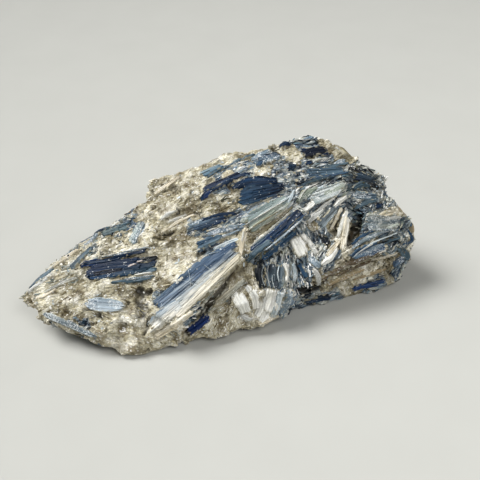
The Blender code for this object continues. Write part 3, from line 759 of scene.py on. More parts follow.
def read_cells(tree, kind):
    """The places that the relief left, and the random values of laths or grains and of what is on them."""
    rest = add(tree, ATTRIBUTE, attribute_name="rest").outputs["Vector"]
    cells = add(tree, ATTRIBUTE, attribute_name="cells").outputs["Vector"]
    lath = add(tree, VORONOI, {"Vector": cells, "Scale": 1.0}).outputs["Color"]
    small_lath = add(tree, VORONOI, {"Vector": cells, "Scale": FINER}).outputs["Color"]
    grain = add(tree, VORONOI, {"Vector": rest, "Scale": 1 / GRAIN_SIZE}).outputs["Color"]
    speck = add(tree, VORONOI, {"Vector": rest, "Scale": 1 / SPECK_SIZE}).outputs["Color"]
    coarse = add(tree, MIX, {0: kind.lathy, 4: grain, 5: lath}, data_type="VECTOR").outputs[1]
    fine = add(tree, MIX, {0: kind.lathy, 4: speck, 5: small_lath}, data_type="VECTOR").outputs[1]
    return rest, cells, coarse, fine


def plain_colour(tree, kind, rest, own, small, fibre, roughly):
    """The rock's own colours, darker and lighter in patches, crumbs and fibres."""
    patches = add(tree, NOISE, {"Vector": rest, "Scale": 1 / PATCH_SIZE, "Detail": 3.0})
    leaning = add(tree, RANGE, (patches, 0.38, 0.62, -PATCH_SHARE, PATCH_SHARE))
    coarse_draw = add(tree, MATH, (own.outputs[0], leaning), operation="ADD")
    fine_draw = add(tree, MATH, (small.outputs[0], leaning), operation="ADD")
    ground = add(tree, RAMP, (coarse_draw,), stops=stops_of(kind.colours))
    detail = add(tree, RAMP, (fine_draw,), stops=stops_of(kind.colours))
    mixed = add(tree, MIX, {0: FINE_SHARE, 6: ground, 7: detail}, data_type="RGBA").outputs[2]
    level = add(tree, RANGE, (fibre, 0.3, 0.7, 1 - FIBRE_SHADE * roughly, 1 + FIBRE_LIGHT * roughly))
    patch_level = add(tree, RANGE, (patches, 0.35, 0.62, *PATCH_LEVELS))
    crumb = add(tree, VORONOI, {"Vector": rest, "Scale": 1 / CRUMB_SIZE}).outputs["Color"]
    crumb_draw = add(tree, SPLIT, (crumb,)).outputs[1]
    crumb_level = add(tree, RANGE, (crumb_draw, 0.0, 1.0, *CRUMB_LEVELS))
    levels = add(tree, MATH, (add(tree, MATH, (level, patch_level), operation="MULTIPLY"), crumb_level),
                 operation="MULTIPLY")
    return add(tree, VECTOR_MATH, {0: mixed, "Scale": levels}, operation="SCALE")


def stained_and_shaded(tree, kind, colour, rest, cells, is_white):
    """A colour with iron stain and white mica over it, and painted shade in gaps and hollows."""
    stain = add(tree, NOISE, {"Vector": rest, "Scale": 1 / STAIN_SIZE, "Detail": 4.0})
    stained = add(tree, MIX, {
        0: add(tree, RANGE, (stain, 0.52, 0.68, 0.0, kind.stain)), 6: colour, 7: linear(IRON_STAIN)},
        data_type="RGBA").outputs[2]
    whitened = add(tree, MIX, {
        0: add(tree, MATH, (is_white, MICA_COVER), operation="MULTIPLY"),
        6: stained, 7: linear(WHITE_MICA)}, data_type="RGBA").outputs[2]
    border = add(tree, VORONOI, {"Vector": cells, "Scale": 1.0}, feature="DISTANCE_TO_EDGE")
    depth = add(tree, ATTRIBUTE, attribute_name="depth").outputs["Fac"]
    gap = add(tree, RANGE, (border, 0.0, DARK_LINE, GAP_COVER * kind.lathy, 0.0))
    hollow = add(tree, RANGE, (depth, *HOLLOW_DEPTHS, 0.0, HOLLOW_COVER))
    # Painted shade: the gaps between laths and the deep hollows darken towards the hollow colour.
    shade = add(tree, MATH, (gap, hollow), operation="MAXIMUM")
    return add(tree, MIX, {0: shade, 6: whitened, 7: linear(HOLLOW_SHADE)}, data_type="RGBA").outputs[2]


# %% The material of a kind of rock
# Rock is duller than the mica in it, so a mirror of mica flashes where its neighbours don't.
ROCK_GLOSS, MICA_GLOSS, ROCK_IOR = (0.28, 0.75), 0.22, 1.6
BUMP_STRENGTH, BUMP_HEIGHT = 0.6, 0.12 * MM


def rock_material(name, kind):
    """A kind of rock: laths and grains in its colours, with white mica, stain and dark gaps."""
    material, tree, shader = new_material(name)
    rest, cells, coarse, fine = read_cells(tree, kind)
    own = add(tree, SPLIT, (coarse,))
    small = add(tree, SPLIT, (fine,))
    is_white = add(tree, MATH, (small.outputs[1], kind.white), operation="LESS_THAN")
    drawn = add(tree, VECTOR_MATH, (cells, FIBRES), operation="MULTIPLY")
    fibre = add(tree, NOISE, {"Vector": drawn, "Scale": 1.0, "Detail": 2.0})
    roughly = min(1.0, kind.step / FULL_STEP)
    colour = plain_colour(tree, kind, rest, own, small, fibre, roughly)
    tree.links.new(stained_and_shaded(tree, kind, colour, rest, cells, is_white), shader.inputs["Base Color"])

    gloss = add(tree, RANGE, (own.outputs[2], 0.0, 1.0, *ROCK_GLOSS))
    mirror = add(tree, MIX, {0: is_white, 2: gloss, 3: MICA_GLOSS})
    tree.links.new(mirror.outputs[0], shader.inputs["Roughness"])
    tilts = add(tree, VECTOR_MATH, (fine, HALF), operation="SUBTRACT")
    normal = add(tree, "ShaderNodeNewGeometry").outputs["Normal"]
    facing = add(tree, VECTOR_MATH, (tilts, (TILT * roughly,) * 3, normal), operation="MULTIPLY_ADD")
    tilted = add(tree, VECTOR_MATH, (facing,), operation="NORMALIZE")
    bumps = add(tree, "ShaderNodeBump", {
        "Strength": BUMP_STRENGTH, "Distance": BUMP_HEIGHT, "Height": fibre, "Normal": tilted})
    tree.links.new(bumps.outputs[0], shader.inputs["Normal"])
    shader.inputs["IOR"].default_value = ROCK_IOR
    return material


# %% Split the pale rock from the blue
def part_of_stone(name, kinds):
    """The faces of some kinds of rock as a piece of their own, in their materials."""
    numbers = [KIND_NAMES.index(kind) for kind in kinds]
    shape = bmesh.new()
    shape.from_mesh(stone.data)
    gone = [face for face, kind in zip(shape.faces, face_kinds) if kind not in numbers]
    kept = [numbers.index(kind) for kind in face_kinds if kind in numbers]
    bmesh.ops.delete(shape, geom=gone, context="FACES")
    mesh = bpy.data.meshes.new(name)
    shape.to_mesh(mesh)
    shape.free()
    mesh.polygons.foreach_set("material_index", np.array(kept, np.int32))
    mesh.materials.clear()
    for kind in kinds:
        mesh.materials.append(rock_material(kind + "_schist", KINDS[kind]))
    piece = new_object(name, mesh)
    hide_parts("host_stone")
    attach(piece, "root")
    print(name, "has", len(mesh.polygons), "faces")


part_of_stone("pale_schist", PALE_KINDS)
part_of_stone("blue_schist", BLUE_KINDS)

# %% [markdown]
# ## Loose flakes and laths
# Thousands of small mica flakes stand free on the broken rock and give it its glitter, and small laths
# of kyanite lie in it like straw. There are far too many to place by hand, so a tree of geometry nodes
# scatters points over the stone, as densely as each kind of rock asks, and puts a plate on each. A
# flake lies any way round and tilts a little, which is why some flash in the light and others don't. A
# lath lies along the grain and has one of the colours of its rock.

# %% A flake and a lath to copy
FLAKE_OUTLINE = ((-0.5, -0.12), (-0.2, -0.5), (0.34, -0.42), (0.5, 0.1), (0.18, 0.48), (-0.36, 0.36))
LATH_OUTLINE = ((-0.5, 0.1), (-0.4, -0.4), (0.05, -0.5), (0.45, -0.3), (0.5, 0.1), (0.3, 0.45),
                (-0.4, 0.5))
# How long a scattered lath is taken to be when it is striated, in millimetres and widths.
LATH_NOMINAL = 3.0
PLATE_TAPER = 0.88


def plate_pattern(name, outline, long):
    """A plate one unit long, wide and thick, for a tree to copy."""
    shape = bmesh.new()
    under = [shape.verts.new((x, y, -0.5)) for x, y in outline]
    over = [shape.verts.new((x * PLATE_TAPER, y * PLATE_TAPER, 0.5)) for x, y in outline]
    shape.faces.new(over)
    shape.faces.new(under[::-1])
    for here in range(len(outline)):
        shape.faces.new((under[here - 1], under[here], over[here], over[here - 1]))
    mesh = bpy.data.meshes.new(name)
    lie = [(vertex.co.x * long, vertex.co.y, vertex.co.z) for vertex in shape.verts]
    shape.to_mesh(mesh)
    shape.free()
    set_attribute(mesh, "lie", "FLOAT_VECTOR", "POINT", np.array(lie))
    return new_object(name, mesh)


print("a flake will have", len(FLAKE_OUTLINE) + 2, "faces")

# %% The scatter tree
RANDOM = "FunctionNodeRandomValue"
WAVE_SIZE = 1.0 * MM
GREY = "#8D8F8B"
FLAKE_TINTS = ((0.28, "#F1EFE6"), (0.24, "#D2CDBC"), (0.18, "#B3A98E"), (0.12, ICE), (0.18, GREY))


def scatter_tree(name, field, palettes):
    """Copies a plate over the stone, as densely as an attribute says, in the colours of its rock."""
    tree, given, result = new_tree(name, {
        "Plate": "Object", "Seed": "Int", "Most Turn": "Vector", "Smallest": "Vector", "Largest": "Vector",
        "Bend": "Float", "Material": "Material"})
    later = [add(tree, MATH, (given["Seed"], float(number)), operation="ADD") for number in (1, 2, 3)]
    density = add(tree, MATH, (add(tree, NAMED, {"Name": field}), 1 / MM ** 2), operation="MULTIPLY")
    spread = add(tree, "GeometryNodeDistributePointsOnFaces", {
        "Mesh": given["Geometry"], "Density": density, "Seed": given["Seed"]})
    upright = add(tree, "FunctionNodeAlignRotationToVector", {"Vector": spread.outputs["Normal"]}, axis="Z")
    laid = add(tree, "FunctionNodeAlignRotationToVector", {
        "Rotation": upright, "Vector": add(tree, NAMED, {"Name": "along"}, data_type="FLOAT_VECTOR")},
        axis="X", pivot_axis="Z")
    swing = add(tree, RANDOM, {0: (-1.0,) * 3, 1: (1.0,) * 3, "Seed": given["Seed"]},
                data_type="FLOAT_VECTOR")
    tilt = add(tree, VECTOR_MATH, (swing, given["Most Turn"]), operation="MULTIPLY")
    tilting = add(tree, "FunctionNodeEulerToRotation", (tilt,))
    turned = add(tree, "FunctionNodeRotateRotation", (laid, tilting), rotation_space="LOCAL")
    size = add(tree, RANDOM, {0: given["Smallest"], 1: given["Largest"], "Seed": later[0]},
               data_type="FLOAT_VECTOR")
    draw = add(tree, RANDOM, {2: 0.0, 3: 1.0, "Seed": later[1]}).outputs[1]
    tint = add(tree, "GeometryNodeIndexSwitch", data_type="RGBA")
    while len(tint.index_switch_items) < len(palettes):
        tint.index_switch_items.new()
    tree.links.new(add(tree, NAMED, {"Name": "kind"}, data_type="INT").outputs[0], tint.inputs[0])
    for number, colours in enumerate(palettes):
        tree.links.new(add(tree, RAMP, (draw,), stops=stops_of(colours)).outputs[0], tint.inputs[1 + number])
    own = add(tree, RANDOM, {2: 0.0, 3: 1.0, "Seed": later[2]}).outputs[1]
    tinted = add(tree, STORE, {"Geometry": spread.outputs["Points"], "Name": "tint", "Value": tint},
                 data_type="FLOAT_COLOR")
    seeded = add(tree, STORE, {"Geometry": tinted, "Name": "seed", "Value": own})
    copied = add(tree, "GeometryNodeObjectInfo", {"Object": given["Plate"]})
    copies = add(tree, "GeometryNodeInstanceOnPoints", {
        "Points": seeded, "Instance": copied.outputs["Geometry"], "Rotation": turned, "Scale": size})
    real = add(tree, "GeometryNodeRealizeInstances", (copies,))
    position = add(tree, "GeometryNodeInputPosition")
    waves = add(tree, NOISE, {"Vector": position, "Scale": 1 / WAVE_SIZE, "Detail": 1.0})
    both_ways = add(tree, VECTOR_MATH, (waves.outputs["Color"], HALF), operation="SUBTRACT")
    shift = add(tree, VECTOR_MATH, {0: both_ways, "Scale": given["Bend"]}, operation="SCALE")
    bent = add(tree, "GeometryNodeSetPosition", {"Geometry": real, "Offset": shift})
    lifted = add(tree, VECTOR_MATH, (add(tree, "GeometryNodeInputPosition"), GROUND), operation="MAXIMUM")
    above_ground = add(tree, "GeometryNodeSetPosition", {"Geometry": bent, "Position": lifted})
    named = add(tree, "GeometryNodeSetMaterial", {"Geometry": above_ground, "Material": given["Material"]})
    tree.links.new(named.outputs[0], result.inputs[0])
    return tree


# %% [markdown]
# ## The surface of kyanite and mica
# Kyanite is a glassy blue silicate that splits into smooth planes, so it shines, and fine striations
# run along it. Where it has been knocked it is bruised: crushed to white specks and pale hairlines. The
# white specks also stand in for glints: they are painted highlights.
# Mica has the glint of silver. All three read their colour from an attribute, so one material serves
# hundreds of laths. A second attribute, called lie, says how far along and across its lath a point is,
# in millimetres, and the striations follow it.

# %% Kyanite and mica
# In millimetres. Striae are finer still, so the hairlines are drawn as coarse as they need to show.
STREAK_WIDTH, STREAK_LENGTH = 0.35, 7.0
HAIR_WIDTH, HAIR_COLOUR = 0.12, "#D5DDE2"
# White specks on kyanite and mica, partly scuffs and partly painted glints: their size in mm, colour and
# cover.
SCUFF_GLINT_SIZE, SCUFF_GLINT_COLOUR, SCUFF_GLINT_COVER = 0.22, "#EEF0EE", 0.6
# How many worn patches there are to a millimetre, and the share of its hairlines that the rest keeps.
# The worn patches also hold the painted glints.
WORN_GLINT_PATCHES, LEAST_HAIRS = 0.45, 0.15
STRIA_STRENGTH, STRIA_HEIGHT = 0.5, 0.06 * MM
# A lath's seed is from 0 to 1. This far out, its noise has nothing in common with its neighbour's.
SEED_REACH = 50.0


def striated(name, roughness, ior, shine, contrast, hair, scuffs_and_glints):
    """Kyanite or mica: tinted by an attribute, streaked and finely ridged along its length.

    shine is how strongly it mirrors, hair is how bright its hairlines are, and scuffs_and_glints is
    the share of it with white specks: partly scuffs, partly painted glints.
    """
    material, tree, shader = new_material(name)
    tint = add(tree, ATTRIBUTE, attribute_name="tint").outputs["Color"]
    lie = add(tree, ATTRIBUTE, attribute_name="lie").outputs["Vector"]
    seed = add(tree, ATTRIBUTE, attribute_name="seed").outputs["Fac"]
    own = add(tree, MATH, (seed, SEED_REACH), operation="MULTIPLY")
    wide = add(tree, VECTOR_MATH, (lie, (1 / STREAK_LENGTH, 1 / STREAK_WIDTH, 1.0)), operation="MULTIPLY")
    streak = add(tree, NOISE, {"Vector": wide, "W": own, "Scale": 1.0, "Detail": 3.0}, noise_dimensions="4D")
    thin = add(tree, VECTOR_MATH, (lie, (1 / STREAK_LENGTH, 1 / HAIR_WIDTH, 1.0)), operation="MULTIPLY")
    hairs = add(tree, NOISE, {"Vector": thin, "W": own, "Scale": 1.0, "Detail": 1.0}, noise_dimensions="4D")
    patches = add(tree, NOISE, {"Vector": lie, "W": own, "Scale": WORN_GLINT_PATCHES, "Detail": 2.0},
                  noise_dimensions="4D")
    level = add(tree, RANGE, (streak, 0.3, 0.7, 1 - contrast, 1 + contrast))
    shaded = add(tree, VECTOR_MATH, {0: tint, "Scale": level}, operation="SCALE")
    fades = add(tree, RANGE, (patches, 0.4, 0.65, LEAST_HAIRS, 1.0))
    line = add(tree, MATH, (add(tree, RANGE, (hairs, 0.6, 0.7, 0.0, hair)), fades), operation="MULTIPLY")
    lined = add(tree, MIX, {0: line, 6: shaded, 7: linear(HAIR_COLOUR)}, data_type="RGBA").outputs[2]
    # White specks in the worn patches, partly scuffs and partly painted glints.
    scuff_glint_cells = add(tree, VORONOI, {"Vector": lie, "W": own, "Scale": 1 / SCUFF_GLINT_SIZE}, voronoi_dimensions="4D")
    draw = add(tree, SPLIT, (scuff_glint_cells.outputs["Color"],))
    is_scuff_or_glint = add(tree, MATH, (draw, add(tree, RANGE, (patches, 0.4, 0.6, 0.0, scuffs_and_glints))),
                     operation="LESS_THAN")
    scuffed_and_glinting = add(tree, MIX, {
        0: add(tree, MATH, (is_scuff_or_glint, SCUFF_GLINT_COVER), operation="MULTIPLY"),
        6: lined, 7: linear(SCUFF_GLINT_COLOUR)}, data_type="RGBA").outputs[2]
    tree.links.new(scuffed_and_glinting, shader.inputs["Base Color"])
    gloss = add(tree, RANGE, (hairs, 0.3, 0.7, roughness, roughness * 2))
    tree.links.new(gloss.outputs[0], shader.inputs["Roughness"])
    ridges = add(tree, "ShaderNodeBump", {
        "Strength": STRIA_STRENGTH, "Distance": STRIA_HEIGHT, "Height": hairs})
    tree.links.new(ridges.outputs[0], shader.inputs["Normal"])
    shader.inputs["IOR"].default_value = ior
    shader.inputs["Specular IOR Level"].default_value = shine
    return material


# The last value is the share with white specks, partly scuffs and partly painted glints.
kyanite = striated("cleaved_kyanite", 0.26, 1.72, 0.12, 0.45, 0.17, 0.02)
bruised_glinting = striated("bruised_glinting_kyanite", 0.3, 1.72, 0.3, 0.5, 0.6, 0.4)
mica = striated("muscovite_mica", 0.24, 1.58, 0.35, 0.4, 0.45, 0.15)
print("made", kyanite.name, bruised_glinting.name, "and", mica.name)

# %% Scatter the flakes and the laths
def scattered(name, tree, plate, material, values):
    """Runs the scatter tree over the stone and keeps what it makes as one piece."""
    mesh = run_tree(stone, tree, {"Plate": plate, "Material": material, **values})
    mesh.materials.clear()
    mesh.materials.append(material)
    mesh.polygons.foreach_set("material_index", np.zeros(len(mesh.polygons), np.int32))
    piece = new_object(name, mesh)
    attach(piece, "root")
    bpy.data.objects.remove(plate)
    print(name, "has", len(mesh.polygons), "faces")


scattered("mica_flakes", scatter_tree("scatter flakes", "flakes", [FLAKE_TINTS] * len(KINDS)),
          plate_pattern("flake", FLAKE_OUTLINE, 1.0), mica, {
              "Seed": 11, "Most Turn": (0.35, 0.35, math.pi), "Smallest": (0.3 * MM, 0.2 * MM, 0.06 * MM),
              "Largest": (1.3 * MM, 0.9 * MM, 0.16 * MM), "Bend": 0.1 * MM})
scattered("kyanite_straw", scatter_tree("scatter laths", "laths", [kind.colours for kind in KINDS.values()]),
          plate_pattern("straw", LATH_OUTLINE, LATH_NOMINAL), kyanite, {
              "Seed": 22, "Most Turn": (0.06, 0.05, 0.2), "Smallest": (0.8 * MM, 0.2 * MM, 0.12 * MM),
              "Largest": (2.4 * MM, 0.5 * MM, 0.26 * MM), "Bend": 0.15 * MM})
bpy.data.objects.remove(stone)

# %% [markdown]
# ## Slabs of fibres
# A kyanite blade splits along its flat face into long steps, and across them it breaks raggedly. Large
# blades and small laths are made in the same way, as a slab with a fine grid on its upper face: first
# the plain shape, then the fibres, striations and chips on it. A tube of rings, one behind the other,
# is an easy way to keep such a slab closed.

# %% The fine relief of a blade
# In mm: how wide a fibre is, how long it keeps one height, and how far the heights lie apart.
FIBRE, FIBRE_LENGTH, FIBRE_STEP = 0.42, 6.0, 0.16 * MM
# How far, in fibres, they sway to one side, and how often to a mm along them and across them.
SWAY, SWAYS = 0.6, (0.08, 0.5)
# Fine ridges run along every fibre: how high they are, and how many there are to a mm each way.
RIDGE, RIDGES = 0.05 * MM, (0.12, 5.0)
# A chip is where noise of this fineness is above this value.
CHIP_DEPTH, CHIPS, CHIPPED = 0.35 * MM, (0.7, 0.9), 0.42
# Where noise is above the first value, the fibres stand apart. Then: how deep such a gap is, how dark its
# painted shade is, how many there may be to a fibre, and half the width of one as a share of the room for
# it.
GAPS, GAP_DEPTH, GAP_SHADE, GAPS_TO_FIBRE, GAP_WIDE = 0.27, 0.18 * MM, 0.3, 0.6, 0.2
# Where the noise of one end or side is taken, and of the other.
ENDS = (0, 9)
# How much of a ragged end comes from each splinter, and how much from waves that many share.
SPLINTERS, SPLINTERS_TO_FIBRE, END_WAVES, END_WAVES_TO_MM = 0.5, 1.4, 0.7, 0.4


def sway(x, y, seed):
    """How far, in fibres, the fibres sway at x mm along a blade and y mm across it."""
    return SWAY * noise.noise(Vector((x * SWAYS[0], y * SWAYS[1], seed)))


def gap_at(x, y, seed):
    """How deep, from 0 to 1, a place lies in an open gap between two fibres."""
    place = y / FIBRE * GAPS_TO_FIBRE + sway(x, y, seed)
    nearest = math.floor(place + 0.5)
    is_open = noise.noise(Vector((x * 0.15, nearest * 3.7, seed + 8))) > GAPS
    return is_open * max(0.0, 1 - abs(place - nearest) / GAP_WIDE)


def detail_at(x, y, seed):
    """The fine relief of a blade's face at x mm along it and y mm across it."""
    fibre = math.floor(y / FIBRE + sway(x, y, seed))
    step = noise.cell(Vector((x / FIBRE_LENGTH + fibre * 0.37, fibre * 1.7, seed)))
    ridge = noise.noise(Vector((x * RIDGES[0], y * RIDGES[1], seed)))
    chip = max(0.0, noise.noise(Vector((x * CHIPS[0], y * CHIPS[1], seed + 5))) - CHIPPED)
    gap = gap_at(x, y, seed) * GAP_DEPTH
    return step * FIBRE_STEP / 2 + ridge * RIDGE - chip * CHIP_DEPTH - gap


def break_at(y, end, seed):
    """How far back, from 0 to about 1, the fibre at y mm across a blade is broken at one of its ends."""
    slow = abs(noise.noise(Vector((y * END_WAVES_TO_MM, end, seed + 2))))
    quick = abs(noise.cell(Vector((y / FIBRE * SPLINTERS_TO_FIBRE, end, seed))))
    return SPLINTERS * quick + END_WAVES * slow


print("a blade's fibres are", FIBRE, "mm wide")

# %% A slab and its colours
# How far colours wander along a slab, as a share of its length, and how often to a mm along it and
# across it. Across it they wander half as far.
WANDER, WANDERS = 0.5, (0.16, 0.9)
# Colours are worked out once, for this many steps across a slab.
SHADES = 40
# Rock that clings to a blade's edges: its colour, its greatest share, its width in mm, which is less on
# a blade narrower than the next value, how ragged it is, and how sharply it ends.
CRUST, CRUST_SHARE, CRUST_WIDTH, NARROW, CRUST_RAGGED, CRUST_SHARP = "#A39C84", 0.85, 0.5, 3, 1.6, 3


def slab(rings):
    """The vertices and faces of a closed slab. Each of its rings runs over its top from side to side."""
    size = len(rings[0])
    faces = []
    for row in range(len(rings) - 1):
        for here in range(size):
            there = (here + 1) % size
            faces.append((row * size + here, (row + 1) * size + here,
                          (row + 1) * size + there, row * size + there))
    faces.append(list(range(size)))
    faces.append([(len(rings) - 1) * size + here for here in reversed(range(size))])
    return [point for ring in rings for point in ring], faces


def colour_across(codes, share):
    """The colour at a share of the way through a row of colours."""
    place = min(max(share, 0.0), 1.0) * (len(codes) - 1)
    first = min(int(place), len(codes) - 2)
    low, high = np.array(linear(codes[first])), np.array(linear(codes[first + 1]))
    return low + (high - low) * (place - first)


def tints(look, lie, length, width, seed):
    """The colour of every vertex of a slab. Noise drawn out along it moves the borders of its colours."""
    table = [[colour_across(codes, step / SHADES) for step in range(SHADES + 1)] for codes in look]
    colours = []
    for x, y, _ in lie:
        wander = noise.fractal(Vector((x * WANDERS[0], y * WANDERS[1], seed)), 0.7, 2.0, 3) * WANDER
        across = min(max(y / width + wander * 0.5, 0.0), 1.0)
        along = min(max(x / length + wander, 0.0), 1.0)
        # Painted shade: the colour darkens in the open gaps between fibres.
        shade = 1 - GAP_SHADE * gap_at(x, y, seed)
        step = int(across * SHADES)
        colour = shade * (table[0][step] * (1 - along) + table[1][step] * along)
        from_edge = min(y, width - y, x / 2, (length - x) / 2) / (CRUST_WIDTH * min(1.0, width / NARROW))
        rough = noise.noise(Vector((x * 1.3, y * 2.2, seed + 4)))
        crust = min(max((0.6 - from_edge + rough * CRUST_RAGGED) * CRUST_SHARP, 0.0), 1.0) * CRUST_SHARE
        colours.append(colour * (1 - crust) + np.array(linear(CRUST)) * crust)
    return np.array(colours)


# %% [markdown]
# ## Laths and plates with a place of their own
# Many small laths and plates of mica are easy to recognise on the specimen, so each gets its own place
# in the camera's picture, its width and its colours. The line of a lath is thrown onto the skin of the
# stone, and its slab follows the skin. Its sides and its ends dive into the rock, whose grains then
# hide them here and there, as if the lath had grown in it.

# %% The colours of laths and plates
# Each: the colours across it at its start, and across it at its end.
PALETTES = {
    "navy": (("#0C2038", "#18334F", "#08162A"), ("#122A44", "#0A1A2E")),
    "royal": (("#15305C", "#0F2244"), ("#1C3A66", "#12284C")),
    "blue": (("#2C4A66", "#1A3650", "#4C667C"), ("#22405C", "#40586C")),
    "slate": (("#30444F", "#4C606C", "#1E303A"), ("#3C525E", "#647680")),
    "steel": (("#485862", "#687780", "#323F48"), ("#54646C", "#7C898E")),
    "pale": (("#76858E", "#586C7A", "#93A0A6"), ("#687A86", "#84929A")),
    "ice": (("#B4C0C4", "#94A4AC", "#D6DCDC"), ("#A4B2B8", "#C8D0D0")),
    "sage": (("#A6AEA0", "#7E887C", "#C0C5B8"), ("#909A8E", "#B2B8AC")),
    "moss": (("#66726A", "#84907F", "#4C5748"), ("#748072", "#96A08F")),
    "black": (("#0C1014", "#20282E"), ("#12181E", "#0C1014")),
    "ink": (("#060C18", "#0E1A2E", "#04080F"), ("#0A1422", "#060C18")),
    "white": (("#E9E8E0", "#BFBEB4", "#F4F3EE"), ("#D8D6CC", "#EEEDE6")),
    "silver": (("#CFCFC8", "#9A9C98", "#E8E6DE"), ("#B6B8B2", "#DAD8D0")),
    "grey": (("#A19F90", "#838580", "#BDBAAC"), ("#ADAA9C", "#90928A")),
    "cream": (("#D2C8B0", "#B3A88C", "#E2DCCC"), ("#C6BAA0", "#DAD2C0")),
    "tan": (("#AA9674", "#847252", "#BFAE8C"), ("#968464", "#B3A280")),
    "brown": (("#554634", "#766448"), ("#3A3024", "#665640")),
    "olive": (("#827A5E", "#645C44", "#9C9476"), ("#746C52", "#8C8668")),
    "haze": (("#6C7C88", "#4E6274", "#8C989C"), ("#5E7080", "#7E8C92")),
    "band": (("#66788A", "#4A5E74", "#586A7A"), ("#30465E", "#364C66", "#52667A")),
    "frayed": (("#D2CCBA", "#E2DED2", "#C0C4C2", "#96A2AA"), ("#DCD8CC", "#C2C6C4", "#8896A0", "#687C8E")),
    "rosy": (("#BFB2AC", "#A69690", "#D8CEC8"), ("#B3A59F", "#CABEB8")),
}
# Laths in bruised kyanite, whose white specks are partly painted glints, and laths in mica.
OF_BRUISED_GLINTING = ("pale", "ice", "sage", "haze", "moss", "steel")
OF_MICA = ("white", "silver", "grey", "cream", "tan", "brown", "olive", "rosy")

